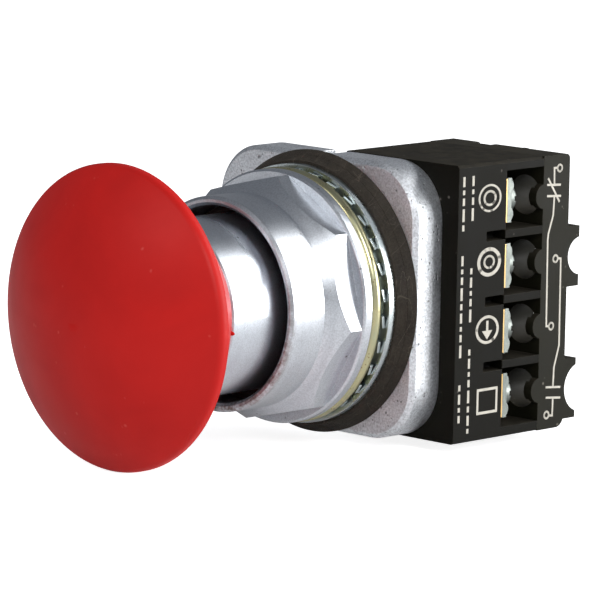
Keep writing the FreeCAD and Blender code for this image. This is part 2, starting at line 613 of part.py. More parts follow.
def block_rear_cover():
    """Rear cover with a rib over the strips, driver holes, ports, bosses and ears."""
    body = box(BLOCK_INNER_X, BLOCK_OUTER_X, BLOCK_SEAM_Y, BLOCK_REAR_Y, -BLOCK_HALF, BLOCK_HALF)
    width = BLOCK_OUTER_X - BLOCK_INNER_X
    for radius, side in ((COVER_TOP_RADIUS, 1), (COVER_BOTTOM_RADIUS, -1)):
        corner = [e for e in body.Edges if abs(e.Length - width) < 1e-6
                  and e.Vertexes[0].Y > BLOCK_REAR_Y - RUN and e.Vertexes[0].Z * side > 0]
        body = body.makeFillet(radius, corner)
    chamber = box(CHAMBER_X, PARTITION_X, BLOCK_SEAM_Y - 1, COVER_INNER_Y, -CHAMBER_HALF, CHAMBER_HALF)
    shell = body.cut(chamber)
    rib = box(PARTITION_X, PARTITION_OUTER_X, STRIP_REAR_Y + TOUCH, BLOCK_SEAM_Y + 1,
              LOOSE - CHAMBER_HALF, CHAMBER_HALF - LOOSE)
    shapes = [shell, rib]
    shapes.extend(ear(height, radius) for height, radius in EARS)
    shapes.extend(bulge(z) for z in TERMINALS)
    for z in (MOUNT_Z, -MOUNT_Z):
        shapes.append(rod(MOUNT_BOSS_RADIUS, BLOCK_REAR_Y - 1, BLOCK_REAR_Y + MOUNT_BOSS_HEIGHT,
                          MOUNT_X, z))
    cover = fuse(shapes)
    holes = [rod(DRIVER_HOLE_RADIUS, BLOCK_SEAM_Y - 1, BLOCK_REAR_Y + 1, SCREW_X, z) for z in TERMINALS]
    for z in (MOUNT_Z, -MOUNT_Z):
        holes.append(rod(MOUNT_COLUMN_RADIUS + LOOSE, STRIP_REAR_Y - 1,
                         BLOCK_REAR_Y + MOUNT_BOSS_HEIGHT + 1, MOUNT_X, z))
    for x, z in ((NC_X, NC_Z), (NO_X, NO_Z)):
        holes.append(rod(STEM_RADIUS + LOOSE, COVER_INNER_Y - 1, BLOCK_REAR_Y + 1, x, z))
    holes.append(box(COVER_NOTCH_X, COVER_NOTCH_X + COVER_NOTCH_WIDTH, BLOCK_REAR_Y - COVER_NOTCH_LENGTH,
                     BLOCK_REAR_Y + 1, BLOCK_HALF - COVER_NOTCH_DEPTH, BLOCK_HALF + 1))
    return cut(cover, holes)


def slotted_head(radius, front, rear, x, z):
    """Round screw head with a straight driver slot in its rear face."""
    head = rod(radius, front, rear, x, z)
    slot = box(x - radius - 1, x + radius + 1, rear - SCREW_SLOT_DEPTH, rear + 1,
               z - SCREW_SLOT_WIDTH / 2, z + SCREW_SLOT_WIDTH / 2)
    return head.cut(slot)


def block_screws():
    """Two screws that hold the block to the plate."""
    screws = []
    head_y = MOUNT_SEAT_Y + TOUCH
    tip = PLATE_THICK - MOUNT_TAP_DEPTH + LOOSE
    for z in (MOUNT_Z, -MOUNT_Z):
        shank = rod(MOUNT_SCREW_RADIUS, tip, head_y + TOUCH, MOUNT_X, z)
        head = slotted_head(MOUNT_HEAD_RADIUS, head_y, head_y + MOUNT_HEAD_HEIGHT, MOUNT_X, z)
        screws.append(fuse([shank, head]))
    return Part.makeCompound(screws)


def strip(terminal_z, arm_z, arm_half, arm_x, pad_x):
    """Flat terminal strip: a pad under the screw and an arm to the switching chamber."""
    pad = box(pad_x, STRIP_OUTER_X, STRIP_FRONT_Y, STRIP_REAR_Y,
              terminal_z - PAD_HALF, terminal_z + PAD_HALF)
    arm = box(arm_x, PARTITION_OUTER_X - LOOSE, STRIP_FRONT_Y, STRIP_REAR_Y,
              arm_z - arm_half, arm_z + arm_half)
    low = min(terminal_z, arm_z)
    high = max(terminal_z, arm_z)
    jog = box(pad_x, PARTITION_OUTER_X - LOOSE, STRIP_FRONT_Y, STRIP_REAR_Y, low, high)
    plate = fuse([pad, arm, jog])
    holes = [rod(SCREW_RADIUS + RUN, STRIP_FRONT_Y - 1, STRIP_REAR_Y + 1, SCREW_X, terminal_z)]
    for z in (MOUNT_Z, -MOUNT_Z):
        holes.append(rod(MOUNT_COLUMN_RADIUS + LOOSE, STRIP_FRONT_Y - 1, STRIP_REAR_Y + 1, MOUNT_X, z))
        holes.append(box(CHAMBER_X, MOUNT_X, STRIP_FRONT_Y - 1, STRIP_REAR_Y + 1,
                         min(z, z * 2), max(z, z * 2)))
    return cut(plate, holes)


def nc_upper_strip():
    return strip(TERMINALS[0], NC_TIPS[0], NC_ARM * TERMINAL_PITCH / 2, ARM_INNER_NC, STRIP_CORNER_X)


def no_upper_strip():
    return strip(TERMINALS[1], NO_TIPS[0], NO_ARM * TERMINAL_PITCH / 2, ARM_INNER_NO, STRIP_CORNER_X)


def nc_lower_strip():
    return strip(TERMINALS[2], NC_TIPS[1], NC_ARM * TERMINAL_PITCH / 2, ARM_INNER_NC, STRIP_CORNER_X)


def no_lower_strip():
    return strip(TERMINALS[3], NO_TIPS[1], NO_ARM * TERMINAL_PITCH / 2, ARM_INNER_NO, STRIP_CORNER_X)


def fixed_contacts():
    """Contact rivets on the strips: behind the closed pair, in front of the open pair."""
    tips = [rod(TIP_RADIUS, STRIP_REAR_Y + TOUCH, NC_FIXED_REAR_Y, NC_X, z) for z in NC_TIPS]
    tips.extend(rod(TIP_RADIUS, NO_FIXED_FRONT_Y, STRIP_FRONT_Y - TOUCH, NO_X, z) for z in NO_TIPS)
    return Part.makeCompound(tips)


def terminal_screws():
    screws = []
    for z in TERMINALS:
        shank = rod(SCREW_RADIUS, SCREW_TIP_Y, SCREW_HEAD_Y + TOUCH, SCREW_X, z)
        head = slotted_head(SCREW_HEAD_RADIUS, SCREW_HEAD_Y, SCREW_HEAD_Y + SCREW_HEAD_HEIGHT, SCREW_X, z)
        screws.append(fuse([shank, head]))
    return Part.makeCompound(screws)


def clamp_plates():
    """Square clamp plates with two pressed ridges."""
    plates = []
    x0 = STRIP_OUTER_X - CLAMP_LENGTH
    rear = CLAMP_FRONT_Y + CLAMP_THICK
    for z in TERMINALS:
        flat = box(x0, STRIP_OUTER_X, CLAMP_FRONT_Y, rear, z - CLAMP_HALF, z + CLAMP_HALF)
        shapes = [flat]
        for side in (1, -1):
            axis_z = z + side * CLAMP_RIDGE_SHARE * CLAMP_HALF
            axis_y = rear + CLAMP_RIDGE_HEIGHT - CLAMP_RIDGE_RADIUS
            ridge = Part.makeCylinder(CLAMP_RIDGE_RADIUS, CLAMP_LENGTH, point(x0, axis_y, axis_z),
                                      point(1, 0, 0))
            shapes.append(ridge.common(box(x0, STRIP_OUTER_X, rear - TOUCH, rear + CLAMP_THICK,
                                           z - CLAMP_HALF, z + CLAMP_HALF)))
        plate = fuse(shapes)
        plates.append(plate.cut(rod(SCREW_RADIUS + RUN, CLAMP_FRONT_Y - 1, rear + 1, SCREW_X, z)))
    return Part.makeCompound(plates)


# ---------------------------------------------------------------- switching parts

def nc_plunger():
    """Plunger of the normally closed pair: its shoulder pushes the bridge off the strips."""
    front = rod(PLUNGER_RADIUS, PLUNGER_FRONT_Y, NC_BRIDGE_Y - TOUCH, NC_X, NC_Z)
    stem = rod(STEM_RADIUS, NC_BRIDGE_Y - 1, STEM_END_Y, NC_X, NC_Z)
    return fuse([front, stem])


def no_plunger():
    """Plunger of the normally open pair."""
    front = rod(PLUNGER_RADIUS, PLUNGER_FRONT_Y, NO_BRIDGE_Y - TOUCH, NO_X, NO_Z)
    stem = rod(STEM_RADIUS, NO_BRIDGE_Y - 1, STEM_END_Y, NO_X, NO_Z)
    return fuse([front, stem])


def bridge(x, y, middle, tips):
    """Flat bridge bar with a hole for its plunger."""
    low = min(tips) - BRIDGE_WIDTH / 2
    high = max(tips) + BRIDGE_WIDTH / 2
    bar = box(x - BRIDGE_WIDTH / 2, x + BRIDGE_WIDTH / 2, y, y + BRIDGE_THICK, low, high)
    return bar.cut(rod(STEM_RADIUS + TOUCH, y - 1, y + BRIDGE_THICK + 1, x, middle))


def nc_bridge():
    return bridge(NC_X, NC_BRIDGE_Y, NC_Z, NC_TIPS)


def no_bridge():
    return bridge(NO_X, NO_BRIDGE_Y, NO_Z, NO_TIPS)


def nc_contacts():
    front = NC_FIXED_REAR_Y + TOUCH
    return Part.makeCompound([rod(TIP_RADIUS, front, NC_BRIDGE_Y - TOUCH / 2, NC_X, z) for z in NC_TIPS])


def no_contacts():
    front = NO_BRIDGE_REAR_Y + TOUCH / 2
    return Part.makeCompound([rod(TIP_RADIUS, front, front + TIP_THICK, NO_X, z) for z in NO_TIPS])


def no_spacer():
    """Spacer tube that holds the open bridge on its plunger and carries the spring."""
    front = NO_BRIDGE_REAR_Y + TOUCH
    tube = rod(SPACER_RADIUS, front, SPACER_END_Y, NO_X, NO_Z)
    flange = rod(SPACER_FLANGE_RADIUS, SPACER_END_Y - SPACER_FLANGE_THICK, SPACER_END_Y, NO_X, NO_Z)
    return fuse([tube, flange]).cut(rod(STEM_RADIUS + TOUCH, front - 1, SPACER_END_Y + 1, NO_X, NO_Z))


def coil(front, rear, x, z):
    """Compression spring along Y."""
    height = rear - front - 2 * SPRING_WIRE
    helix = Part.makeHelix(height / SPRING_TURNS, height, SPRING_RADIUS)
    section = Part.Wire(Part.makeCircle(SPRING_WIRE, point(SPRING_RADIUS, 0, 0), point(0, 1, 0)))
    spring = Part.Wire(helix).makePipeShell([section], True, True)
    spring.rotate(point(0, 0, 0), point(1, 0, 0), -90)
    spring.translate(point(x, front + SPRING_WIRE, z))
    return spring


def nc_spring():
    return coil(NC_BRIDGE_Y + BRIDGE_THICK + TOUCH, COVER_INNER_Y - TOUCH, NC_X, NC_Z)


def no_spring():
    return coil(SPACER_END_Y + TOUCH, COVER_INNER_Y - TOUCH, NO_X, NO_Z)


PARTS = [mushroom_head, head_insert, plunger_sleeve, plunger_shaft, pusher_plate, retaining_clip,
         operator_housing, detent_balls, garter_spring, ring_nut, thrust_washer, tooth_lock_washer,
         zinc_washer, gasket_front, gasket_rear, wiper_seal,
         block_housing, block_rear_cover, block_screws, nc_upper_strip, no_upper_strip,
         nc_lower_strip, no_lower_strip, fixed_contacts, terminal_screws, clamp_plates,
         nc_plunger, nc_bridge, nc_contacts, nc_spring,
         no_plunger, no_bridge, no_contacts, no_spacer, no_spring]

os.makedirs("parts", exist_ok=True)
for build in PARTS:
    build().exportStep("parts/" + build.__name__ + ".step")
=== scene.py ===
"""Looks of a heavy-duty emergency stop: red mushroom head, metal operator and one contact block.

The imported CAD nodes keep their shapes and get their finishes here. Pieces that need finer shapes
than the CAD solids, such as screws, gaskets, the garter spring and the printed marks, are added.
"""

import logging
import math
from dataclasses import dataclass
from enum import Enum
from typing import Sequence

import bmesh
import bpy
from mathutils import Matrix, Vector


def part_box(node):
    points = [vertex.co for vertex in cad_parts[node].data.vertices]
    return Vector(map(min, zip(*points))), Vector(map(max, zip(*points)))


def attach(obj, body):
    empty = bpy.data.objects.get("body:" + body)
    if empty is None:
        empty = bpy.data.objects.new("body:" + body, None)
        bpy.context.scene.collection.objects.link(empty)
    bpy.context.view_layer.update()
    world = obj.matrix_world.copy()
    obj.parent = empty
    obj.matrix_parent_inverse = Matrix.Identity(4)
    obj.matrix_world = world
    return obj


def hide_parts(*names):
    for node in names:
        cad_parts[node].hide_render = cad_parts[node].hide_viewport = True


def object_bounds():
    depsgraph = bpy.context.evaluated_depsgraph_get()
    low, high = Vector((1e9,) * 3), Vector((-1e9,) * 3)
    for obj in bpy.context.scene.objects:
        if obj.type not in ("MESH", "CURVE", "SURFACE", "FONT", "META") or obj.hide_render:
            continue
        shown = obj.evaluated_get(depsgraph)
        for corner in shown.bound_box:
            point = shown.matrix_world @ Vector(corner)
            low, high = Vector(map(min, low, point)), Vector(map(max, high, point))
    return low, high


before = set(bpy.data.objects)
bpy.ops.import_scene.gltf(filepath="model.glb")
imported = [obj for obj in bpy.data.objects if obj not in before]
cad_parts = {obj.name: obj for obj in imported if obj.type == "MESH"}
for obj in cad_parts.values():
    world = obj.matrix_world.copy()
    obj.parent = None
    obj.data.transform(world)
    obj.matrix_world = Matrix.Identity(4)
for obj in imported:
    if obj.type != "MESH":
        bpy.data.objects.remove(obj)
CAD_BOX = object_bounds()

LOG = logging.getLogger("emergency_stop")
MM = 0.001
MERGE_METRES = 1e-7
SMOOTH_DEGREES = 32.0
GRAIN_RANGE = (0.40, 0.62)
SCRATCH_LINES = 90.0
SCRATCH_ROUGH = 0.15
DUST_ROUGH = 0.4
Socket = bpy.types.NodeSocket
Colour = tuple[float, float, float]
Point2 = tuple[float, float]


class Body(Enum):
    """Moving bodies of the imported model."""

    OPERATOR = "operator"
    PUSH_HEAD = "push_head"
    NC_CARRIER = "nc_carrier"
    NO_CARRIER = "no_carrier"


class Pattern(Enum):
    """How a surface was made, which sets its fine texture."""

    MOULDED = "moulded"
    CAST = "cast"
    TURNED = "turned"


# ------------------------------------------------------------------ node drawing

class Sheet:
    """Draws nodes in one node tree and joins them."""

    def __init__(self, tree: bpy.types.NodeTree, clear: bool = True) -> None:
        """Starts on a node tree.

        Args:
            tree: the material's or the group's node tree.
            clear: takes out the nodes that are there.
        """
        self.tree = tree
        if clear:
            tree.nodes.clear()

    def add(self, kind: str, **settings: object) -> bpy.types.Node:
        """Adds a node.

        Args:
            kind: Blender's node type name.
            settings: node properties to set.

        Returns:
            The new node.
        """
        node = self.tree.nodes.new(kind)
        for key, value in settings.items():
            setattr(node, key, value)
        return node

    def feed(self, socket: Socket, value: object) -> None:
        """Puts a number, a colour or another node's output into an input socket.

        Args:
            socket: the input.
            value: the output socket or the plain value.
        """
        if isinstance(value, bpy.types.NodeSocket):
            self.tree.links.new(value, socket)
        elif isinstance(value, tuple) and len(value) == 3 and socket.type == "RGBA":
            socket.default_value = (*value, 1.0)
        else:
            socket.default_value = value

    def maths(self, operation: str, first: object, second: object = 0.0,
              clamp: bool = False) -> Socket:
        """Adds a Math node.

        Args:
            operation: Blender's name of the operation.
            first: first operand.
            second: second operand.
            clamp: keeps the result between 0 and 1.

        Returns:
            The result's socket.
        """
        node = self.add("ShaderNodeMath", operation=operation, use_clamp=clamp)
        self.feed(node.inputs[0], first)
        self.feed(node.inputs[1], second)
        return node.outputs[0]

    def vector(self, operation: str, first: object, second: object) -> bpy.types.Node:
        """Adds a Vector Math node.

        Args:
            operation: Blender's name of the operation.
            first: first vector.
            second: second vector.

        Returns:
            The node, whose outputs are the vector and the value.
        """
        node = self.add("ShaderNodeVectorMath", operation=operation)
        self.feed(node.inputs[0], first)
        self.feed(node.inputs[1], second)
        return node

    def place(self) -> Socket:
        """Returns the surface point in the piece's own coordinates, in metres."""
        return self.add("ShaderNodeTexCoord").outputs["Object"]

    def noise(self, scale: object, detail: float = 2.0, rough: float = 0.5,
              vector: Socket | None = None, warp: float = 0.0) -> Socket:
        """Adds a noise texture.

        Args:
            scale: lumps per metre.
            detail: number of finer layers.
            rough: strength of the finer layers.
            vector: where to read it; the piece's own coordinates if not given.
            warp: how far the pattern is bent.

        Returns:
            The noise value, about 0.3 to 0.7.
        """
        node = self.add("ShaderNodeTexNoise")
        self.feed(node.inputs["Vector"], vector or self.place())
        self.feed(node.inputs["Scale"], scale)
        self.feed(node.inputs["Detail"], detail)
        self.feed(node.inputs["Roughness"], rough)
        self.feed(node.inputs["Distortion"], warp)
        return node.outputs[0]

    def spread(self, value: Socket, low: object, high: object, to_low: float = 0.0,
               to_high: float = 1.0) -> Socket:
        """Maps a value from one range to another, clamped.

        Args:
            value: what is mapped.
            low: start of the range it comes from.
            high: end of the range it comes from.
            to_low: start of the new range.
            to_high: end of the new range.

        Returns:
            The mapped value.
        """
        node = self.add("ShaderNodeMapRange", clamp=True)
        for name, number in (("Value", value), ("From Min", low), ("From Max", high),
                             ("To Min", to_low), ("To Max", to_high)):
            self.feed(node.inputs[name], number)
        return node.outputs[0]

    def blend(self, share: object, first: object, second: object) -> Socket:
        """Mixes two colours.

        Args:
            share: how much of the second colour shows.
            first: the colour underneath.
            second: the colour on top.

        Returns:
            The mixed colour.
        """
        node = self.add("ShaderNodeMix", data_type="RGBA")
        self.feed(node.inputs[0], share)
        self.feed(node.inputs[6], first)
        self.feed(node.inputs[7], second)
        return node.outputs[2]


class Effect:
    """A shader node group that several finishes share, built the first time it is used."""

    title = ""
    takes: tuple[tuple[str, float], ...] = ()
    gives: tuple[tuple[str, str], ...] = ()

    @classmethod
    def group(cls) -> bpy.types.NodeTree:
        """Returns the group, built if it isn't there yet."""
        found = bpy.data.node_groups.get(cls.title)
        if found:
            return found
        tree = bpy.data.node_groups.new(cls.title, "ShaderNodeTree")
        for name, value in cls.takes:
            socket = tree.interface.new_socket(name, in_out="INPUT", socket_type="NodeSocketFloat")
            socket.default_value = value
        for name, kind in cls.gives:
            tree.interface.new_socket(name, in_out="OUTPUT", socket_type=kind)
        sheet = Sheet(tree)
        entry = sheet.add("NodeGroupInput")
        leave = sheet.add("NodeGroupOutput")
        cls.draw(sheet, entry.outputs, leave.inputs)
        return tree

    @classmethod
    def draw(cls, sheet: Sheet, takes: object, gives: object) -> None:
        """Draws the group's own nodes.

        Args:
            sheet: the group's sheet.
            takes: the group's input values, by name.
            gives: the group's results to feed, by name.
        """
        raise NotImplementedError

    @classmethod
    def put(cls, sheet: Sheet, **values: float) -> object:
        """Places the group in a material.

        Args:
            sheet: the material's sheet.
            values: input values, with _ for a space in their names.

        Returns:
            The placed group's outputs, by name.
        """
        node = sheet.add("ShaderNodeGroup", node_tree=cls.group())
        for key, value in values.items():
            sheet.feed(node.inputs[key.replace("_", " ").title()], value)
        return node.outputs


VALUE = "NodeSocketFloat"
ARROW = "NodeSocketVector"


class SoftEdge(Effect):
    """Rounded edges in the shading, and the mask of the rubbed edges."""

    title = "Soft Edge"
    takes = (("Reach", 0.0002), ("Gain", 6.0), ("Patch", 400.0))
    gives = (("Normal", ARROW), ("Wear", VALUE))
    flat_bend = 0.015
    patch_range = (0.38, 0.62)

    @classmethod
    def draw(cls, sheet: Sheet, takes: object, gives: object) -> None:
        """Compares the bevelled normal with the plain one and breaks the line up."""
        bevel = sheet.add("ShaderNodeBevel", samples=4)
        sheet.feed(bevel.inputs["Radius"], takes["Reach"])
        plain = sheet.add("ShaderNodeNewGeometry").outputs["Normal"]
        turn = sheet.vector("DOT_PRODUCT", bevel.outputs[0], plain).outputs["Value"]
        bend = sheet.maths("SUBTRACT", 1.0, turn)
        above = sheet.maths("SUBTRACT", bend, cls.flat_bend)
        rubbed = sheet.maths("MULTIPLY", above, takes["Gain"], clamp=True)
        patch = sheet.spread(sheet.noise(takes["Patch"], 3.0), *cls.patch_range)
        sheet.feed(gives["Normal"], bevel.outputs[0])
        sheet.feed(gives["Wear"], sheet.maths("MULTIPLY", rubbed, patch, clamp=True))


class FineGrain(Effect):
    """Small bumps of a cast or moulded skin, with a slow change of tone across the part."""

    title = "Fine Grain"
    takes = (("Grains", 4000.0), ("Clouds", 150.0))
    gives = (("Height", VALUE), ("Tone", VALUE))

    @classmethod
    def draw(cls, sheet: Sheet, takes: object, gives: object) -> None:
        """One noise for the bumps and a far larger one for the tone."""
        sheet.feed(gives["Height"], sheet.noise(takes["Grains"], 3.0, 0.6))
        clouds = sheet.noise(takes["Clouds"], 4.0, 0.6, warp=0.4)
        sheet.feed(gives["Tone"], sheet.spread(clouds, 0.3, 0.7))


class TurnedLines(Effect):
    """Fine rings that a lathe leaves about the push axis."""

    title = "Turned Lines"
    takes = (("Lines", 4000.0),)
    gives = (("Height", VALUE), ("Tone", VALUE))
    wide_share = 0.11

    @classmethod
    def draw(cls, sheet: Sheet, takes: object, gives: object) -> None:
        """Noise that changes along the axis and the radius, and only slowly around them."""
        axes = sheet.add("ShaderNodeSeparateXYZ")
        sheet.feed(axes.inputs[0], sheet.place())
        across = sheet.maths("MULTIPLY", axes.outputs[0], axes.outputs[0])
        up = sheet.maths("MULTIPLY", axes.outputs[2], axes.outputs[2])
        radius = sheet.maths("SQRT", sheet.maths("ADD", across, up))
        along = sheet.maths("ADD", axes.outputs[1], radius)
        angle = sheet.maths("ARCTAN2", axes.outputs[0], axes.outputs[2])
        track = sheet.add("ShaderNodeCombineXYZ")
        sheet.feed(track.inputs[0], sheet.maths("MULTIPLY", along, takes["Lines"]))
        sheet.feed(track.inputs[1], angle)
        fine = sheet.noise(1.0, 3.0, 0.6, vector=track.outputs[0])
        wide = sheet.noise(cls.wide_share, 2.0, 0.5, vector=track.outputs[0])
        sheet.feed(gives["Height"], fine)
        sheet.feed(gives["Tone"], sheet.spread(wide, 0.35, 0.65))


class Specks(Effect):
    """Small separate dots, such as pits in a casting or lint on plastic."""

    title = "Specks"
    takes = (("Dots", 1500.0), ("Share", 0.1))
    gives = (("Mask", VALUE),)
    dot_range = (0.32, 0.12)
    gate_share = 0.37
    gate_top = 0.72
    gate_blur = 0.04

    @classmethod
    def draw(cls, sheet: Sheet, takes: object, gives: object) -> None:
        """Centres of random cells, kept only where a second noise is high."""
        cells = sheet.add("ShaderNodeTexVoronoi")
        sheet.feed(cells.inputs["Vector"], sheet.place())
        sheet.feed(cells.inputs["Scale"], takes["Dots"])
        dot = sheet.spread(cells.outputs["Distance"], *cls.dot_range)
        gate = sheet.noise(sheet.maths("MULTIPLY", takes["Dots"], cls.gate_share), 1.0)
        edge = sheet.maths("SUBTRACT", cls.gate_top, takes["Share"])
        kept = sheet.spread(gate, edge, sheet.maths("ADD", edge, cls.gate_blur))
        sheet.feed(gives["Mask"], sheet.maths("MULTIPLY", dot, kept, clamp=True))


class Scratches(Effect):
    """Hairline marks of handling, in two directions."""

    title = "Scratches"
    takes = (("Lines", SCRATCH_LINES), ("Share", 0.3))
    gives = (("Mask", VALUE),)
    strokes = (((0.4, 0.2, 0.9), (1.0, 9.0, 1.0)), ((1.1, 0.7, 0.1), (8.0, 1.0, 1.0)))
    hairline = (0.006, 0.001)
    gate_share = 1.7
    gate_top = 0.75
    gate_blur = 0.08

    @classmethod
    def draw(cls, sheet: Sheet, takes: object, gives: object) -> None:
        """Level lines of two stretched noises, gated by a third."""
        total = None
        for turn, stretch in cls.strokes:
            warp = sheet.add("ShaderNodeMapping")
            sheet.feed(warp.inputs["Vector"], sheet.place())
            warp.inputs["Rotation"].default_value = turn
            warp.inputs["Scale"].default_value = stretch
            wave = sheet.noise(takes["Lines"], 1.0, vector=warp.outputs[0], warp=0.3)
            off = sheet.maths("ABSOLUTE", sheet.maths("SUBTRACT", wave, 0.5))
            line = sheet.spread(off, *cls.hairline)
            total = line if total is None else sheet.maths("MAXIMUM", total, line)
        gate = sheet.noise(sheet.maths("MULTIPLY", takes["Lines"], cls.gate_share), 2.0)
        edge = sheet.maths("MULTIPLY", takes["Share"], 0.5)
        edge = sheet.maths("SUBTRACT", cls.gate_top, edge)
        kept = sheet.spread(gate, edge, sheet.maths("ADD", edge, cls.gate_blur))
        sheet.feed(gives["Mask"], sheet.maths("MULTIPLY", total, kept, clamp=True))


class DustAndSheen(Effect):
    """Thin dusting on faces that look up, and painted sheen: the same mask draws those tops
    lighter, as if lit from above.
    """

    title = "DustAndSheen"
    takes = (("Patches", 500.0),)
    gives = (("Mask", VALUE),)

    @classmethod
    def draw(cls, sheet: Sheet, takes: object, gives: object) -> None:
        """The upward part of the normal, times a patchy noise."""
        axes = sheet.add("ShaderNodeSeparateXYZ")
        sheet.feed(axes.inputs[0], sheet.add("ShaderNodeNewGeometry").outputs["Normal"])
        upward = sheet.spread(axes.outputs[2], 0.25, 0.95)
        patch = sheet.spread(sheet.noise(takes["Patches"], 5.0, 0.65), 0.35, 0.7, 0.35, 1.0)
        sheet.feed(gives["Mask"], sheet.maths("MULTIPLY", upward, patch))


class StainBand(Effect):
    """Rub-off that goes round the part at one place along the push axis, strongest low down."""

    title = "Stain Band"
    takes = (("Centre", 0.0), ("Half", 0.001))
    gives = (("Mask", VALUE),)

    @classmethod
    def draw(cls, sheet: Sheet, takes: object, gives: object) -> None:
        """Distance from the band's middle, broken up by noise and faded upwards."""
        axes = sheet.add("ShaderNodeSeparateXYZ")
        sheet.feed(axes.inputs[0], sheet.place())
        away = sheet.maths("ABSOLUTE", sheet.maths("SUBTRACT", axes.outputs[1], takes["Centre"]))
        near = sheet.maths("SUBTRACT", 1.0, sheet.maths("DIVIDE", away, takes["Half"]), clamp=True)
        low = sheet.spread(axes.outputs[2], 0.006, -0.008, 0.15, 1.0)
        patch = sheet.spread(sheet.noise(900.0, 5.0, 0.7), 0.4, 0.6)
        banded = sheet.maths("MULTIPLY", near, patch)
        sheet.feed(gives["Mask"], sheet.maths("MULTIPLY", banded, low, clamp=True))


# ------------------------------------------------------------------ finishes

@dataclass(frozen=True)
class Finish:
    """One surface finish: colours, gloss, texture and wear. Texture lengths are in millimetres."""

    name: str
    pattern: Pattern
    colour: Colour
    tint: Colour
    rough: float
    metallic: float = 0.0
    specular: float = 0.5
    rough_spread: float = 0.1
    grain: float = 0.25
    grain_depth: float = 0.01
    clouds: float = 8.0
    grain_tone: float = 0.0
    speck_colour: Colour = (0.02, 0.02, 0.02)
    speck_size: float = 0.6
    speck_share: float = 0.0
    scratch_share: float = 0.0
    scratch_lighten: float = 0.25
    edge_colour: Colour = (1.0, 1.0, 1.0)
    edge_reach: float = 0.12
    edge_share: float = 0.0
    # Colour and share of the dusting on upward faces. It also paints sheen there, drawing the tops
    # lighter.
    dust_sheen_colour: Colour = (0.4, 0.37, 0.32)
    dust_sheen_share: float = 0.0
    stain_colour: Colour = (0.13, 0.06, 0.035)
    stain_y: float = 0.0
    stain_half: float = 1.0
    stain_share: float = 0.0
    coat: float = 0.0
    coat_rough: float = 0.2

    def material(self) -> bpy.types.Material:
        """Returns the finish's material, built the first time it is asked for."""
        found = bpy.data.materials.get(self.name)
        if found:
            return found
        made = bpy.data.materials.new(self.name)
        made.use_nodes = True
        sheet = Sheet(made.node_tree)
        shader = sheet.add("ShaderNodeBsdfPrincipled")
        shader.inputs["Metallic"].default_value = self.metallic
        shader.inputs["Specular IOR Level"].default_value = self.specular
        shader.inputs["Coat Weight"].default_value = self.coat
        shader.inputs["Coat Roughness"].default_value = self.coat_rough
        self.dress(sheet, shader)
        sheet.feed(sheet.add("ShaderNodeOutputMaterial").inputs["Surface"], shader.outputs[0])
        return made

    def dress(self, sheet: Sheet, shader: bpy.types.Node) -> None:
        """Joins colour, roughness and surface relief to the shader.

        Args:
            sheet: the material's sheet.
            shader: its Principled shader.
        """
        grain = FineGrain.put(sheet, grains=1000 / self.grain, clouds=1000 / self.clouds)
        height, tone = grain["Height"], grain["Tone"]
        if self.pattern is Pattern.TURNED:
            lines = TurnedLines.put(sheet, lines=1000 / self.grain)
            height, tone = lines["Height"], sheet.maths("MULTIPLY", tone, lines["Tone"])
        edge = SoftEdge.put(sheet, reach=self.edge_reach * MM)
        colour = sheet.blend(tone, self.colour, self.tint)
        rough = sheet.spread(tone, 0.0, 1.0, self.rough - self.rough_spread,
                             self.rough + self.rough_spread)
        if self.grain_tone:
            fine = sheet.spread(grain["Height"], *GRAIN_RANGE)
            share = sheet.maths("MULTIPLY", fine, self.grain_tone)
            colour = sheet.blend(share, colour, self.speck_colour)
        if self.stain_share:
            band = StainBand.put(sheet, centre=self.stain_y * MM, half=self.stain_half * MM)
            share = sheet.maths("MULTIPLY", band["Mask"], self.stain_share)
            colour = sheet.blend(share, colour, self.stain_colour)
        if self.speck_share:
            dots = Specks.put(sheet, dots=1000 / self.speck_size, share=self.speck_share)["Mask"]
            colour = sheet.blend(dots, colour, self.speck_colour)
            height = sheet.maths("SUBTRACT", height, dots)
        if self.scratch_share:
            marks = Scratches.put(sheet, lines=SCRATCH_LINES, share=self.scratch_share)["Mask"]
            lighter = sheet.maths("MULTIPLY", marks, self.scratch_lighten)
            colour = sheet.blend(lighter, colour, self.edge_colour)
            rough = sheet.maths("ADD", rough, sheet.maths("MULTIPLY", marks, SCRATCH_ROUGH))
        if self.edge_share:
            share = sheet.maths("MULTIPLY", edge["Wear"], self.edge_share)
            colour = sheet.blend(share, colour, self.edge_colour)
        # Dusting and painted sheen: faces that look up are drawn lighter, as if lit, and rougher.
        if self.dust_sheen_share:
            dust_sheen = sheet.maths("MULTIPLY", DustAndSheen.put(sheet)["Mask"], self.dust_sheen_share)
            colour = sheet.blend(dust_sheen, colour, self.dust_sheen_colour)
            rough = sheet.maths("ADD", rough, sheet.maths("MULTIPLY", dust_sheen, DUST_ROUGH), clamp=True)
        bump = sheet.add("ShaderNodeBump")
        bump.inputs["Distance"].default_value = self.grain_depth * MM
        sheet.feed(bump.inputs["Height"], height)
        sheet.feed(bump.inputs["Normal"], edge["Normal"])
        sheet.feed(shader.inputs["Base Color"], colour)
        sheet.feed(shader.inputs["Roughness"], rough)
        sheet.feed(shader.inputs["Normal"], bump.outputs[0])


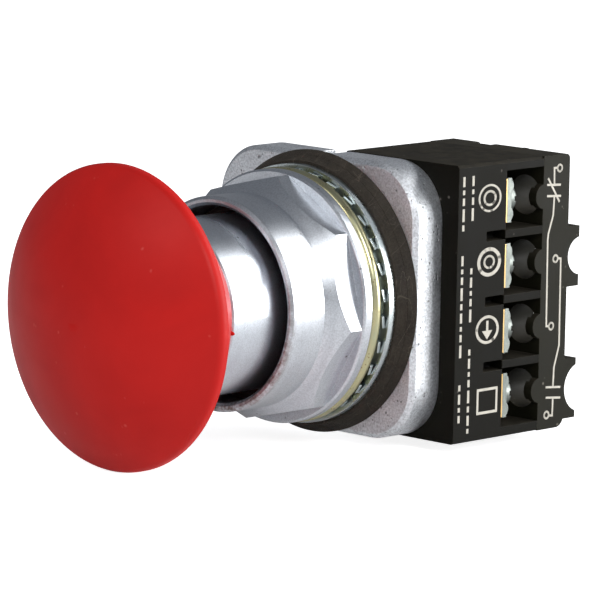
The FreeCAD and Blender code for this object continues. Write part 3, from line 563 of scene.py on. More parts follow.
RED_PLASTIC = Finish(
    "Red_plastic", Pattern.MOULDED, (0.560, 0.011, 0.008), (0.480, 0.009, 0.007), 0.50,
    specular=0.18, rough_spread=0.05, grain=0.35, grain_depth=0.008, clouds=14.0,
    speck_colour=(0.60, 0.06, 0.05), speck_size=1.1, speck_share=0.03,
    scratch_share=0.12, scratch_lighten=0.05, edge_colour=(0.72, 0.03, 0.02), edge_share=0.35,
    edge_reach=0.2, coat=0.02, coat_rough=0.3)
SATIN_CHROME = Finish(
    "Satin_chrome", Pattern.TURNED, (0.66, 0.70, 0.75), (0.56, 0.59, 0.64), 0.32, metallic=1.0,
    rough_spread=0.05, grain=0.22, grain_depth=0.006, clouds=6.0, grain_tone=0.22,
    scratch_share=0.25, edge_share=0.3, edge_colour=(0.85, 0.86, 0.88),
    speck_colour=(0.2, 0.2, 0.2), speck_size=0.8, speck_share=0.03)
NUT_METAL = Finish(
    "Nut_metal", Pattern.TURNED, (0.68, 0.71, 0.75), (0.56, 0.59, 0.63), 0.34, metallic=1.0,
    rough_spread=0.06, grain=0.25, grain_depth=0.008, clouds=7.0, grain_tone=0.25,
    scratch_share=0.3, edge_share=0.5, edge_colour=(0.9, 0.9, 0.92),
    speck_colour=(0.18, 0.18, 0.19), speck_size=0.9, speck_share=0.05,
    stain_y=-21.0, stain_half=1.1, stain_share=0.85)
CAST_ZINC = Finish(
    "Cast_zinc", Pattern.CAST, (0.88, 0.90, 0.93), (0.72, 0.75, 0.78), 0.46, metallic=1.0,
    rough_spread=0.08, grain=0.34, grain_depth=0.09, clouds=5.0, grain_tone=0.4,
    speck_colour=(0.22, 0.22, 0.23), speck_size=0.7, speck_share=0.16, edge_share=0.6,
    edge_colour=(0.92, 0.93, 0.95),
    edge_reach=0.22, scratch_share=0.1)
ZINC_STEEL = Finish(
    "Zinc_steel", Pattern.CAST, (0.62, 0.68, 0.68), (0.50, 0.55, 0.56), 0.28, metallic=1.0,
    grain=0.3, grain_depth=0.006, clouds=4.0, edge_share=0.5, edge_colour=(0.9, 0.93, 0.93),
    speck_size=0.6, speck_share=0.05, speck_colour=(0.3, 0.31, 0.3), scratch_share=0.2)
SCREW_STEEL = Finish(
    "Screw_steel", Pattern.CAST, (0.22, 0.24, 0.22), (0.15, 0.17, 0.16), 0.42, metallic=1.0,
    rough_spread=0.08, grain=0.3, grain_depth=0.01, clouds=2.0, grain_tone=0.3, edge_share=0.4,
    edge_colour=(0.75, 0.78, 0.76), speck_size=0.5, speck_share=0.06,
    speck_colour=(0.12, 0.12, 0.11), scratch_share=0.2)
YELLOW_CHROMATE = Finish(
    "Yellow_chromate", Pattern.TURNED, (0.55, 0.50, 0.28), (0.42, 0.44, 0.30), 0.34, metallic=1.0,
    grain=0.25, grain_depth=0.008, clouds=3.0, edge_share=0.4, edge_colour=(0.80, 0.74, 0.48),
    speck_size=0.5, speck_share=0.12, speck_colour=(0.25, 0.2, 0.1))
SPRING_STEEL = Finish(
    "Spring_steel", Pattern.CAST, (0.48, 0.48, 0.47), (0.40, 0.40, 0.40), 0.25, metallic=1.0,
    grain=0.2, grain_depth=0.004, clouds=3.0, edge_share=0.2, scratch_share=0.2)
BRASS = Finish(
    "Brass", Pattern.CAST, (0.68, 0.47, 0.20), (0.55, 0.36, 0.15), 0.3, metallic=1.0,
    grain=0.25, grain_depth=0.005, clouds=4.0, edge_share=0.4, edge_colour=(0.88, 0.70, 0.40),
    speck_share=0.06, speck_colour=(0.3, 0.18, 0.07), scratch_share=0.2)
SILVER = Finish(
    "Silver", Pattern.TURNED, (0.85, 0.84, 0.80), (0.70, 0.68, 0.64), 0.3, metallic=1.0,
    grain=0.15, grain_depth=0.004, clouds=2.0, edge_share=0.3)
# Its upward-face dusting also paints a little sheen: the tops are drawn lighter.
BLACK_RUBBER = Finish(
    "Black_rubber", Pattern.MOULDED, (0.016, 0.013, 0.010), (0.030, 0.025, 0.018), 0.55,
    specular=0.15, grain=0.3, grain_depth=0.03, clouds=3.0, edge_share=0.4,
    grain_tone=0.35, edge_colour=(0.09, 0.075, 0.06), speck_colour=(0.055, 0.045, 0.036),
    speck_size=0.5, speck_share=0.08, scratch_share=0.8, scratch_lighten=0.8, dust_sheen_share=0.10)
# Its upward-face dusting is partly painted sheen: the tops are drawn lighter, as if lit.
BLACK_PLASTIC = Finish(
    "Black_plastic", Pattern.MOULDED, (0.0034, 0.0031, 0.0018), (0.0060, 0.0055, 0.0034), 0.54,
    specular=0.07, rough_spread=0.06, grain=0.22, grain_depth=0.012, clouds=6.0, edge_share=0.55,
    edge_colour=(0.05, 0.046, 0.034), edge_reach=0.15, speck_colour=(0.10, 0.09, 0.08),
    speck_size=0.9, speck_share=0.02, scratch_share=0.12, scratch_lighten=0.15,
    dust_sheen_colour=(0.055, 0.048, 0.036), dust_sheen_share=0.6)
# Its upward-face dusting is partly painted sheen: the tops are drawn lighter, as if lit.
COVER_PLASTIC = Finish(
    "Cover_plastic", Pattern.MOULDED, (0.0085, 0.0080, 0.0045), (0.0125, 0.0118, 0.0070), 0.52,
    specular=0.09, rough_spread=0.06, grain=0.2, grain_depth=0.012, clouds=5.0, edge_share=0.55,
    edge_colour=(0.075, 0.068, 0.05), edge_reach=0.15, speck_colour=(0.12, 0.11, 0.09),
    speck_size=0.9, speck_share=0.02, scratch_share=0.1, scratch_lighten=0.15,
    dust_sheen_colour=(0.065, 0.056, 0.042), dust_sheen_share=0.5)
WHITE_PLASTIC = Finish(
    "White_plastic", Pattern.MOULDED, (0.72, 0.71, 0.66), (0.66, 0.64, 0.58), 0.4,
    grain=0.3, grain_depth=0.006, clouds=4.0, edge_share=0.3, speck_share=0.03,
    speck_colour=(0.5, 0.48, 0.42))
GREEN_PLASTIC = Finish(
    "Green_plastic", Pattern.MOULDED, (0.03, 0.28, 0.10), (0.02, 0.22, 0.08), 0.4,
    grain=0.3, grain_depth=0.006, clouds=4.0, edge_share=0.3, edge_colour=(0.2, 0.5, 0.3))
PRINT_INK = Finish(
    "Print_ink", Pattern.MOULDED, (0.56, 0.53, 0.46), (0.47, 0.445, 0.385), 0.65,
    specular=0.25, grain=0.12, grain_depth=0.01, clouds=1.2)
FLOOR_CARD = Finish(
    "Floor_card", Pattern.MOULDED, (0.86, 0.86, 0.86), (0.84, 0.84, 0.845), 0.85,
    specular=0.2, grain=3.0, grain_depth=0.02, clouds=300.0)


# ------------------------------------------------------------------ shapes

class Shape:
    """Mesh building for turned pieces, prints and wires."""

    mitre_limit = 0.4
    hoop_degrees = 8
    fewest_steps = 8
    wire_sides = 8
    wire_sharp = 60.0

    @staticmethod
    def keep(name: str, mesh: bmesh.types.BMesh,
             sharp: float = SMOOTH_DEGREES) -> bpy.types.Object:
        """Turns a working mesh into an object with smooth faces and sharp corners.

        Args:
            name: the piece's name.
            mesh: the working mesh, freed here.
            sharp: angle in degrees above which an edge stays sharp.

        Returns:
            The new object.
        """
        bmesh.ops.remove_doubles(mesh, verts=mesh.verts, dist=MERGE_METRES)
        bmesh.ops.recalc_face_normals(mesh, faces=mesh.faces)
        data = bpy.data.meshes.new(name)
        mesh.to_mesh(data)
        mesh.free()
        data.shade_smooth()
        data.set_sharp_from_angle(angle=math.radians(sharp))
        piece = bpy.data.objects.new(name, data)
        bpy.context.scene.collection.objects.link(piece)
        return piece

    @staticmethod
    def turn(mesh: bmesh.types.BMesh, profile: Sequence[Point2], centre: Point2 = (0.0, 0.0),
             sides: int = 96, closed: bool = False) -> None:
        """Adds a solid of revolution about Y.

        Args:
            mesh: working mesh that it is added to.
            profile: (radius, y) corners in millimetres; a radius of 0 closes the end to a point.
            centre: x and z of the axis.
            sides: number of steps round the axis.
            closed: joins the last corner to the first, for a ring.
        """
        rows = []
        for radius, y in profile:
            if radius == 0:
                rows.append([mesh.verts.new((centre[0] * MM, y * MM, centre[1] * MM))])
                continue
            row = []
            for step in range(sides):
                angle = 2 * math.pi * step / sides
                row.append(mesh.verts.new(((centre[0] + radius * math.sin(angle)) * MM, y * MM,
                                           (centre[1] + radius * math.cos(angle)) * MM)))
            rows.append(row)
        pairs = list(zip(rows[:-1], rows[1:]))
        if closed:
            pairs.append((rows[-1], rows[0]))
        for first, second in pairs:
            for step in range(sides):
                after = (step + 1) % sides
                corners = [first[step % len(first)], first[after % len(first)],
                           second[after % len(second)], second[step % len(second)]]
                unique = list(dict.fromkeys(corners))
                mesh.faces.new(unique)

    @staticmethod
    def slab(mesh: bmesh.types.BMesh, outline: Sequence[Point2], x: float,
             thick: float) -> None:
        """Adds a thin flat slab on a face that looks along +X.

        Args:
            mesh: working mesh that it is added to.
            outline: (y, z) corners in millimetres.
            x: where the face lies.
            thick: how far the slab stands proud.
        """
        low = [mesh.verts.new((x * MM, y * MM, z * MM)) for y, z in outline]
        high = [mesh.verts.new(((x + thick) * MM, y * MM, z * MM)) for y, z in outline]
        mesh.faces.new(low)
        mesh.faces.new(list(reversed(high)))
        for step in range(len(low)):
            after = (step + 1) % len(low)
            mesh.faces.new([low[step], low[after], high[after], high[step]])

    @staticmethod
    def stroke(points: Sequence[Point2], width: float) -> list[Point2]:
        """Outline of a line of even width through some points, with mitred corners.

        Args:
            points: (y, z) of the line's corners.
            width: the line's width.

        Returns:
            The outline's corners.
        """
        left, right = [], []
        for index, here in enumerate(points):
            steps = []
            if index > 0:
                steps.append((Vector(here) - Vector(points[index - 1])).normalized())
            if index < len(points) - 1:
                steps.append((Vector(points[index + 1]) - Vector(here)).normalized())
            normals = [Vector((-step.y, step.x)) for step in steps]
            middle = sum(normals, Vector((0.0, 0.0))).normalized()
            reach = width / 2 / max(Shape.mitre_limit, middle.dot(normals[0]))
            left.append(tuple(Vector(here) + middle * reach))
            right.append(tuple(Vector(here) - middle * reach))
        return left + right[::-1]

    @staticmethod
    def hoop(mesh: bmesh.types.BMesh, centre: Point2, outer: float, inner: float, x: float,
             thick: float, start: float = 0.0, sweep: float = 360.0, wide: float = 1.0) -> None:
        """Adds a flat printed ring, or part of one, on a face that looks along +X.

        Args:
            mesh: working mesh that it is added to.
            centre: (y, z) of the ring.
            outer: outer radius.
            inner: inner radius.
            x: where the face lies.
            thick: how far it stands proud.
            start: angle where it starts, in degrees from +Y towards +Z.
            sweep: angle that it covers.
            wide: how much wider than high it is.
        """
        steps = max(Shape.fewest_steps, round(sweep / Shape.hoop_degrees))
        for step in range(steps):
            angles = [math.radians(start + sweep * (step + end) / steps) for end in (0, 1)]
            corners = ((outer, angles[0]), (outer, angles[1]),
                       (inner, angles[1]), (inner, angles[0]))
            outline = [(centre[0] + wide * radius * math.cos(angle),
                        centre[1] + radius * math.sin(angle)) for radius, angle in corners]
            Shape.slab(mesh, outline, x, thick)

    @staticmethod
    def wire(name: str, points: Sequence[Vector], radius: float,
             closed: bool) -> bpy.types.Object:
        """Makes a round wire through some points.

        Args:
            name: the piece's name.
            points: centre line, in metres.
            radius: the wire's radius in millimetres.
            closed: joins the end to the start.

        Returns:
            The new mesh object.
        """
        sides = Shape.wire_sides
        turns = [2 * math.pi * step / sides for step in range(sides)]
        mesh = bmesh.new()
        rows = []
        count = len(points)
        for index, here in enumerate(points):
            ahead = points[(index + 1) % count] if closed else points[min(index + 1, count - 1)]
            behind = points[index - 1] if closed or index else points[0]
            along = (ahead - behind).normalized()
            side = along.cross(Vector((0, 1, 0))).normalized()
            other = along.cross(side).normalized()
            rows.append([mesh.verts.new(here + radius * MM * (side * math.cos(turn)
                                                              + other * math.sin(turn)))
                         for turn in turns])
        last = count if closed else count - 1
        for index in range(last):
            first, second = rows[index], rows[(index + 1) % count]
            for step in range(sides):
                after = (step + 1) % sides
                mesh.faces.new([first[step], first[after], second[after], second[step]])
        return Shape.keep(name, mesh, Shape.wire_sharp)

    @staticmethod
    def carve(piece: bpy.types.Object, cutters: Sequence[bpy.types.Object],
              sharp: float = SMOOTH_DEGREES) -> None:
        """Cuts some objects out of a piece and removes them.

        Args:
            piece: the piece that is cut.
            cutters: the objects that are taken out.
            sharp: angle in degrees above which an edge stays sharp.
        """
        for cutter in cutters:
            change = piece.modifiers.new("cut", "BOOLEAN")
            change.operation = "DIFFERENCE"
            change.solver = "EXACT"
            change.object = cutter
        graph = bpy.context.evaluated_depsgraph_get()
        result = bpy.data.meshes.new_from_object(piece.evaluated_get(graph))
        piece.modifiers.clear()
        piece.data = result
        result.set_sharp_from_angle(angle=math.radians(sharp))
        for cutter in cutters:
            bpy.data.objects.remove(cutter)

    @staticmethod
    def block(name: str, low: Sequence[float], high: Sequence[float]) -> bpy.types.Object:
        """Makes a box-shaped cutter.

        Args:
            name: its name.
            low: lowest corner in millimetres.
            high: highest corner in millimetres.

        Returns:
            The cutter.
        """
        mesh = bmesh.new()
        bmesh.ops.create_cube(mesh, size=1.0)
        for vert in mesh.verts:
            vert.co = Vector([MM * (start + (end - start) * (part + 0.5))
                              for start, end, part in zip(low, high, vert.co)])
        return Shape.keep(name, mesh)


class Assembly:
    """A group of pieces that are dressed or built together."""

    @staticmethod
    def dress(finish: Finish, *nodes: str) -> None:
        """Gives CAD nodes a finish.

        Args:
            finish: the finish.
            nodes: names of the nodes.
        """
        for name in nodes:
            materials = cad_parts[name].data.materials
            materials.clear()
            materials.append(finish.material())
            LOG.info("dressed %s with %s", name, finish.name)

    @staticmethod
    def add(piece: bpy.types.Object, finish: Finish, body: Body, slot: str = "",
            stands_for: str = "") -> bpy.types.Object:
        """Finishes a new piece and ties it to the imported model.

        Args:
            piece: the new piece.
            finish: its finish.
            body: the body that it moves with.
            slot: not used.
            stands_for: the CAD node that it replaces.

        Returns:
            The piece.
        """
        piece.data.materials.clear()
        piece.data.materials.append(finish.material())
        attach(piece, body.value)
        if stands_for:
            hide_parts(stands_for)
        LOG.info("built %s", piece.name)
        return piece

    def build(self) -> None:
        """Dresses and builds everything in the group."""
        raise NotImplementedError


@dataclass
class PushHead(Assembly):
    """Mushroom head, sleeve, shaft and pusher: everything that the hand moves."""

    nib_radius: float = 0.32
    nib_length: float = 0.75
    nib_angle: float = 96.0
    cone_radius: float = 13.9
    cone_y: float = -31.3

    def build(self) -> None:
        """Dresses the moving metal and plastic and adds the moulding nib."""
        self.dress(RED_PLASTIC, "mushroom_head")
        self.dress(SATIN_CHROME, "plunger_sleeve")
        self.dress(ZINC_STEEL, "plunger_shaft", "pusher_plate")
        self.dress(SPRING_STEEL, "retaining_clip")
        self.dress(BRASS, "head_insert")
        self.nib()

    def nib(self) -> None:
        """Small gate mark left on the cone next to the sleeve."""
        mesh = bmesh.new()
        bmesh.ops.create_uvsphere(mesh, u_segments=16, v_segments=10, radius=1.0)
        angle = math.radians(self.nib_angle)
        out = Vector((math.sin(angle), 0.0, math.cos(angle)))
        middle = out * self.cone_radius + Vector((0.0, self.cone_y, 0.0))
        for vert in mesh.verts:
            extra = self.nib_length - self.nib_radius
            stretched = vert.co * self.nib_radius + out * vert.co.dot(out) * extra
            vert.co = (middle + stretched) * MM
        self.add(Shape.keep("head_gate_nib", mesh), RED_PLASTIC, Body.PUSH_HEAD, "red_plastic")


@dataclass
class Operator(Assembly):
    """Die-cast housing with its ring nut, washers, gaskets, seal and detent."""

    rib_count: int = 9
    rib_depth: float = 0.055
    garter_turns: int = 84
    garter_wire: float = 0.16
    garter_steps: int = 10
    ring_sides: int = 144
    face_reach: float = 0.01
    front_break: float = 0.12
    rear_break: float = 0.1
    rib_steps: tuple[Point2, ...] = ((0.15, 0.0), (0.6, 0.0), (0.8, 1.0), (0.95, 1.0))

    def build(self) -> None:
        """Dresses the metal parts and builds the rubber rings and the garter spring."""
        self.dress(CAST_ZINC, "operator_housing")
        self.dress(NUT_METAL, "ring_nut")
        self.dress(YELLOW_CHROMATE, "thrust_washer")
        self.dress(ZINC_STEEL, "zinc_washer", "tooth_lock_washer")
        self.dress(SPRING_STEEL, "detent_balls", "garter_spring")
        self.dress(BLACK_RUBBER, "wiper_seal")
        self.ribbed_gasket("gasket_front")
        self.ribbed_gasket("gasket_rear")
        self.coiled_garter()

    def ribbed_gasket(self, node: str) -> None:
        """Rubber ring whose tapered outside carries fine moulded ribs.

        Args:
            node: the plain CAD gasket that it stands for.
        """
        verts = [vert.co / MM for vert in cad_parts[node].data.vertices]
        radii = [(math.hypot(vert.x, vert.z), vert.y) for vert in verts]
        front = min(y for _, y in radii)
        rear = max(y for _, y in radii)
        bore = min(radius for radius, _ in radii)
        outer_front = max(radius for radius, y in radii if y < front + self.face_reach)
        outer_rear = max(radius for radius, y in radii if y > rear - self.face_reach)
        profile = [(bore, rear), (bore, front), (outer_front - self.front_break, front)]
        for rib in range(self.rib_count):
            for part, depth in self.rib_steps:
                share = (rib + part) / self.rib_count
                radius = outer_front + (outer_rear - outer_front) * share
                profile.append((radius - depth * self.rib_depth, front + (rear - front) * share))
        profile.append((outer_rear - self.rear_break, rear))
        mesh = bmesh.new()
        Shape.turn(mesh, profile, sides=self.ring_sides, closed=True)
        ring = Shape.keep("ribbed_" + node, mesh)
        self.add(ring, BLACK_RUBBER, Body.OPERATOR, "black_rubber", node)

    def coiled_garter(self) -> None:
        """Garter spring wound as a real coil closed on itself."""
        low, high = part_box("garter_spring")
        middle_y = (low.y + high.y) / 2
        tube = (high.y - low.y) / 2
        ring = (high.x - low.x) / 2 - tube
        coil = tube - self.garter_wire * MM
        points = []
        total = self.garter_turns * self.garter_steps
        for step in range(total):
            around = 2 * math.pi * step / total
            twist = 2 * math.pi * step / self.garter_steps
            out = Vector((math.sin(around), 0.0, math.cos(around)))
            along = Vector((0.0, middle_y + coil * math.sin(twist), 0.0))
            points.append(out * (ring + coil * math.cos(twist)) + along)
        spring = Shape.wire("coiled_garter_spring", points, self.garter_wire, closed=True)
        self.add(spring, SPRING_STEEL, Body.OPERATOR, "spring_steel", "garter_spring")


@dataclass
class Screws(Assembly):
    """Round-headed slotted screws with real threads."""

    node: str
    slot_width: float = 0.8
    slot_depth: float = 0.9
    pitch: float = 0.6
    thread_depth: float = 0.24
    thread_shape: tuple[float, float, float] = (0.42, 0.55, 0.97)
    screw_gap: float = 1.2
    slot_spare: float = 1.0
    tip_taper: float = 0.2
    tip_height: float = 0.25
    thread_start: float = 0.35
    thread_end: float = 0.2
    edge_break: float = 0.12
    head_side: float = 0.55
    dome_round: float = 0.9
    dome_steps: int = 6
    crown_share: float = 0.4
    sides: int = 40

    def build(self) -> None:
        """Builds one piece that stands for all the screws of the CAD node."""
        verts = [vert.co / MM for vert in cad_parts[self.node].data.vertices]
        rear = max(vert.y for vert in verts)
        groups: list[list[Vector]] = []
        for vert in sorted(verts, key=lambda one: one.z):
            if groups and vert.z - groups[-1][-1].z < self.screw_gap:
                groups[-1].append(vert)
            else:
                groups.append([vert])
        mesh = bmesh.new()
        centres = []
        for group in groups:
            centre = ((min(v.x for v in group) + max(v.x for v in group)) / 2,
                      (min(v.z for v in group) + max(v.z for v in group)) / 2)
            centres.append(centre)
            self.one_screw(mesh, group, centre)
        piece = Shape.keep("threaded_" + self.node, mesh)
        head = max(math.hypot(v.x - centres[0][0], v.z - centres[0][1]) for v in groups[0])
        reach, half = head + self.slot_spare, self.slot_width / 2
        cutters = [Shape.block("slot_cutter", (x - reach, rear - self.slot_depth, z - half),
                               (x + reach, rear + self.slot_spare, z + half))
                   for x, z in centres]
        Shape.carve(piece, cutters)
        self.add(piece, SCREW_STEEL, Body.OPERATOR, "zinc_steel", self.node)

    def one_screw(self, mesh: bmesh.types.BMesh, group: Sequence[Vector], centre: Point2) -> None:
        """Adds one screw with a domed head.

        Args:
            mesh: working mesh that it is added to.
            group: the CAD screw's points.
            centre: x and z of its axis.
        """
        spans = [(math.hypot(v.x - centre[0], v.z - centre[1]), v.y) for v in group]
        head = max(radius for radius, _ in spans)
        tip = min(y for _, y in spans)
        rear = max(y for _, y in spans)
        seat = min(y for radius, y in spans if radius > head - 0.05)
        shank = max(radius for radius, y in spans if y < tip + 0.1)
        root = shank - self.thread_depth
        profile = [(0.0, tip), (root - self.tip_taper, tip), (root, tip + self.tip_height)]
        rise, crest, fall = self.thread_shape
        y = tip + self.thread_start
        while y + self.pitch < seat - self.thread_end:
            profile += [(root, y), (shank, y + self.pitch * rise), (shank, y + self.pitch * crest),
                        (root, y + self.pitch * fall)]
            y += self.pitch
        side = seat + (rear - seat) * self.head_side
        profile += [(root, seat), (head - self.edge_break, seat),
                    (head, seat + self.edge_break), (head, side)]
        for step in range(1, self.dome_steps):
            angle = math.radians(90 * step / self.dome_steps)
            profile.append(((head - self.dome_round) + self.dome_round * math.cos(angle),
                            side + (rear - side) * math.sin(angle)))
        profile.append((head * self.crown_share, rear))
        profile.append((0.0, rear))
        Shape.turn(mesh, profile, centre, self.sides)


@dataclass
class ContactBlock(Assembly):
    """Moulded contact block with its terminals, its cover and the marks printed on its side."""

    ink: float = 0.02
    line: float = 0.34
    side_x: float = 23.8
    ring_outer: float = 0.68
    ring_inner: float = 0.36
    mark_wide: float = 1.2
    overlap_lift: float = 1.1
    lift_step: float = 0.05
    diagram_rings: tuple[Point2, ...] = ((28.2, 18.85), (27.75, 5.1), (27.15, -5.15),
                                         (26.65, -18.75))
    diagram_lines: tuple[tuple[Point2, ...], ...] = (
        ((27.55, 18.95), (26.95, 18.95), (27.05, 16.45)),
        ((25.4, 16.5), (28.5, 16.3)),
        ((25.45, 14.8), (28.6, 14.6)),
        ((25.6, 17.5), (28.3, 13.7)),
        ((27.1, 14.7), (26.95, 11.8), (25.95, 9.0), (25.85, 8.1), (26.05, -5.05), (26.5, -5.1)),
        ((28.4, 5.1), (28.95, 5.0), (29.1, -8.25), (28.05, -11.6), (27.95, -14.5)),
        ((26.3, -14.45), (29.65, -14.75)),
        ((26.35, -16.05), (29.7, -16.4)),
        ((28.0, -16.2), (27.95, -18.95), (27.3, -18.9)),
    )
    round_marks: tuple[tuple[Point2, float, float], ...] = (
        ((12.65, 15.6), 2.1, 1.78), ((12.65, 15.6), 1.2, 0.85), ((12.8, 6.0), 2.2, 1.65),
        ((12.8, 6.0), 1.05, 0.72), ((12.75, -4.2), 2.15, 1.72))
    arrow: Point2 = (12.75, -4.2)
    arrow_stem: float = 0.5
    square: Point2 = (13.1, -15.0)
    square_line: float = 0.42
    dash_rows: tuple[tuple[float, tuple[Point2, ...]], ...] = (
        (6.9, ((19.2, 10.2), (7.4, -9.0), (-12.0, -19.6))),
        (8.9, ((19.2, 11.4), (5.4, -3.0), (-6.8, -19.6))))
    dash_lengths: tuple[float, ...] = (1.5, 0.7, 1.1, 1.9, 0.9)
    dash_gap: float = 0.5
    dash_half: float = 0.24

    def build(self) -> None:
        """Dresses the block's parts and prints its side."""
        self.dress(BLACK_PLASTIC, "block_housing")
        self.dress(COVER_PLASTIC, "block_rear_cover")
        self.dress(BRASS, "nc_upper_strip", "no_upper_strip", "nc_lower_strip", "no_lower_strip")
        self.dress(SILVER, "fixed_contacts")
        self.dress(SCREW_STEEL, "clamp_plates", "terminal_screws", "block_screws")
        Screws("terminal_screws").build()
        Screws("block_screws").build()
        self.wiring_diagram()
        self.side_marks()

    def wiring_diagram(self) -> None:
        """Contact symbols of the closed and the open pair, with a ring at each terminal."""
        mesh = bmesh.new()
        for centre in self.diagram_rings:
            Shape.hoop(mesh, centre, self.ring_outer, self.ring_inner, self.side_x, self.ink)
        for number, points in enumerate(self.diagram_lines):
            lift = self.ink * (1 + self.lift_step * number)
            Shape.slab(mesh, Shape.stroke(points, self.line), self.side_x, lift)
        self.add(Shape.keep("wiring_diagram_print", mesh), PRINT_INK, Body.OPERATOR)

    def side_marks(self) -> None:
        """Plain rings, a ring with an arrow and rows of short dashes, with no lettering."""
        mesh = bmesh.new()
        for centre, outer, inner in self.round_marks:
            Shape.hoop(mesh, centre, outer, inner, self.side_x, self.ink, wide=self.mark_wide)
        y, z = self.arrow
        stem = Shape.stroke(((y, z + 1.35), (y, z - 0.3)), self.arrow_stem)
        Shape.slab(mesh, stem, self.side_x, self.ink)
        Shape.slab(mesh, ((y - 1.15, z - 0.15), (y, z - 1.5), (y + 1.15, z - 0.15)), self.side_x,
                   self.ink * self.overlap_lift)
        y, z = self.square
        for side in (-1, 1):
            level = Shape.stroke(((y - 2.3, z + side * 1.75), (y + 2.3, z + side * 1.75)),
                                 self.square_line)
            Shape.slab(mesh, level, self.side_x, self.ink)
            upright = Shape.stroke(((y + side * 2.1, z - 1.75), (y + side * 2.1, z + 1.75)),
                                   self.square_line)
            Shape.slab(mesh, upright, self.side_x, self.ink * self.overlap_lift)
        for y, runs in self.dash_rows:
            self.dash_row(mesh, y, runs)
        self.add(Shape.keep("side_marks_print", mesh), PRINT_INK, Body.OPERATOR)

    def dash_row(self, mesh: bmesh.types.BMesh, y: float, runs: Sequence[Point2]) -> None:
        """One row of short dashes in the place of a line of print.

        Args:
            mesh: working mesh that it is added to.
            y: middle of the row.
            runs: (start, end) heights of each group of dashes.
        """
        lengths, half = self.dash_lengths, self.dash_half
        index = 0
        for start, end in runs:
            z = start
            while z - lengths[index % len(lengths)] > end:
                length = lengths[index % len(lengths)]
                Shape.slab(mesh, ((y - half, z), (y + half, z), (y + half, z - length),
                                  (y - half, z - length)), self.side_x, self.ink)
                z -= length + self.dash_gap
                index += 1


@dataclass
class Switching(Assembly):
    """Plungers, bridges, contact tips and springs inside the block."""

    def build(self) -> None:
        """Dresses the parts that switch."""
        self.dress(WHITE_PLASTIC, "nc_plunger", "no_spacer")
        self.dress(GREEN_PLASTIC, "no_plunger")
        self.dress(BRASS, "nc_bridge", "no_bridge")
        self.dress(SILVER, "nc_contacts", "no_contacts")
        self.dress(SPRING_STEEL, "nc_spring", "no_spring")


@dataclass(frozen=True)
class Panel:
    """One soft light panel, aimed at the middle of the object."""

    name: str
    towards: tuple[float, float, float]
    away: float
    width: float
    height: float
    power: float
    tone: Colour = (1.0, 1.0, 1.0)

    def hang(self) -> None:
        """Puts the panel in the scene."""
        lamp = bpy.data.lights.new(self.name, "AREA")
        lamp.shape = "RECTANGLE"
        lamp.size, lamp.size_y = self.width, self.height
        lamp.energy = self.power
        lamp.color = self.tone
        holder = bpy.data.objects.new(self.name, lamp)
        direction = Vector(self.towards).normalized()
        holder.location = direction * self.away
        holder.rotation_euler = direction.to_track_quat("Z", "Y").to_euler()
        bpy.context.scene.collection.objects.link(holder)
        LOG.info("light %s", self.name)


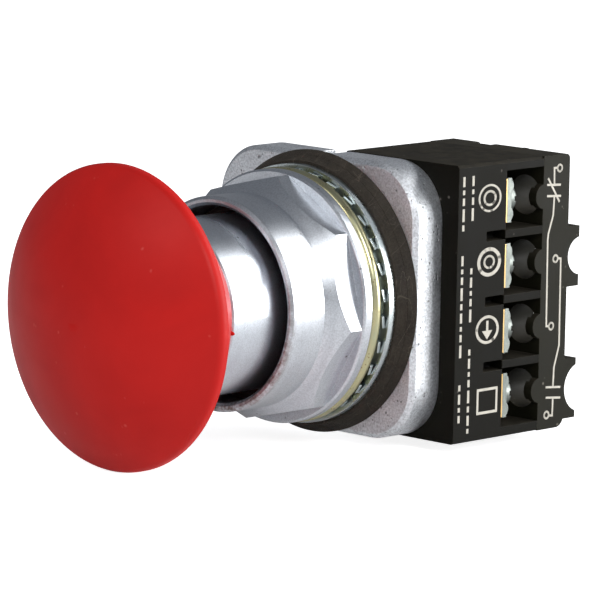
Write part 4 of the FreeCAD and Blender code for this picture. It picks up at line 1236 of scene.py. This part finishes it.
@dataclass
class Studio:
    """Camera, floor, sky and lights."""

    azimuth: float = 44.11
    elevation: float = 8.94
    roll: float = 1.13
    distance: float = 754.03
    target: tuple[float, float, float] = (-2.79, 0.0, -1.763)
    lens: float = 300.0
    sensor: float = 36.0
    clip: float = 0.01
    floor_gap: float = 0.1
    floor_half: float = 6.0
    floor_glow: float = 0.85
    floor_mirror: float = 0.12
    sky_seen: Colour = (1.0, 1.0, 1.0)
    sky_light: Colour = (0.17, 0.18, 0.20)
    panels: tuple[Panel, ...] = (
        Panel("back_right_panel", (0.69, 0.71, 0.04), 0.55, 0.40, 0.30, 3.8),
        Panel("back_top_panel", (0.32, 0.74, 0.50), 0.6, 0.36, 0.22, 1.5),
        Panel("front_top_panel", (-0.05, -0.80, 0.60), 0.8, 0.34, 0.30, 1.3),
        Panel("right_panel", (0.80, -0.42, 0.60), 1.2, 0.5, 0.5, 7.2),
    )

    def build(self) -> None:
        """Makes the camera, the floor, the sky and the lights."""
        self.camera()
        self.floor()
        self.sky()
        for panel in self.panels:
            panel.hang()

    def camera(self) -> None:
        """Camera at the fixed viewing angle."""
        a, e, r = (math.radians(value) for value in (self.azimuth, self.elevation, self.roll))
        back = Vector((math.sin(a) * math.cos(e), -math.cos(a) * math.cos(e), math.sin(e)))
        right = (-back).cross(Vector((0, 0, 1))).normalized()
        up = right.cross(-back)
        right, up = (right * math.cos(r) + up * math.sin(r),
                     up * math.cos(r) - right * math.sin(r))
        data = bpy.data.cameras.new("camera")
        data.lens = self.lens
        data.sensor_width = self.sensor
        data.clip_start = self.clip
        camera = bpy.data.objects.new("camera", data)
        bpy.context.scene.collection.objects.link(camera)
        place = (Vector(self.target) + back * self.distance) * MM
        matrix = camera.matrix_world.copy()
        for row in range(3):
            matrix[row][0], matrix[row][1], matrix[row][2] = right[row], up[row], back[row]
            matrix[row][3] = place[row]
        camera.matrix_world = matrix
        bpy.context.scene.camera = camera

    def floor(self) -> None:
        """Plain pale floor under the head."""
        z = CAD_BOX[0].z - self.floor_gap * MM
        mesh = bmesh.new()
        half = self.floor_half
        mesh.faces.new([mesh.verts.new((x, y, z)) for x, y in (
            (-half, -half), (half, -half), (half, half), (-half, half))])
        floor = Shape.keep("floor", mesh)
        floor.data.materials.append(self.glowing(FLOOR_CARD.material()))

    def glowing(self, card: bpy.types.Material) -> bpy.types.Material:
        """Adds a glow that only the camera and reflections see, so that the floor stays pale.

        Args:
            card: the floor's material.

        Returns:
            The same material.
        """
        sheet = Sheet(card.node_tree, clear=False)
        parts = {node.type: node for node in card.node_tree.nodes}
        shader = parts["BSDF_PRINCIPLED"].outputs[0]
        path = sheet.add("ShaderNodeLightPath").outputs
        glow = sheet.add("ShaderNodeEmission")
        sheet.feed(glow.inputs["Strength"], sheet.spread(
            path["Is Camera Ray"], 0.0, 1.0, self.floor_mirror, self.floor_glow))
        both = sheet.add("ShaderNodeAddShader")
        sheet.feed(both.inputs[0], shader)
        sheet.feed(both.inputs[1], glow.outputs[0])
        either = sheet.maths("MAXIMUM", path["Is Camera Ray"], path["Is Glossy Ray"])
        seen = sheet.add("ShaderNodeMixShader")
        for socket, value in zip(seen.inputs, (either, shader, both.outputs[0])):
            sheet.feed(socket, value)
        sheet.feed(parts["OUTPUT_MATERIAL"].inputs["Surface"], seen.outputs[0])
        return card

    def sky(self) -> None:
        """White backdrop for the camera and a softer grey as light."""
        world = bpy.data.worlds.new("studio")
        bpy.context.scene.world = world
        world.use_nodes = True
        sheet = Sheet(world.node_tree)
        seen = sheet.add("ShaderNodeBackground")
        sheet.feed(seen.inputs["Color"], self.sky_seen)
        light = sheet.add("ShaderNodeBackground")
        sheet.feed(light.inputs["Color"], self.sky_light)
        mix = sheet.add("ShaderNodeMixShader")
        sheet.feed(mix.inputs[0], sheet.add("ShaderNodeLightPath").outputs["Is Camera Ray"])
        sheet.feed(mix.inputs[1], light.outputs[0])
        sheet.feed(mix.inputs[2], seen.outputs[0])
        sheet.feed(sheet.add("ShaderNodeOutputWorld").inputs["Surface"], mix.outputs[0])
        bpy.context.scene.view_settings.view_transform = "Standard"


def main() -> None:
    """Builds the studio and every sub-assembly, and reports each piece."""
    logging.basicConfig(level=logging.INFO, format="%(name)s: %(message)s")
    Studio().build()
    for assembly in (PushHead(), Operator(), ContactBlock(), Switching()):
        LOG.info("building %s", type(assembly).__name__)
        assembly.build()


if __name__ == "__main__":
    main()
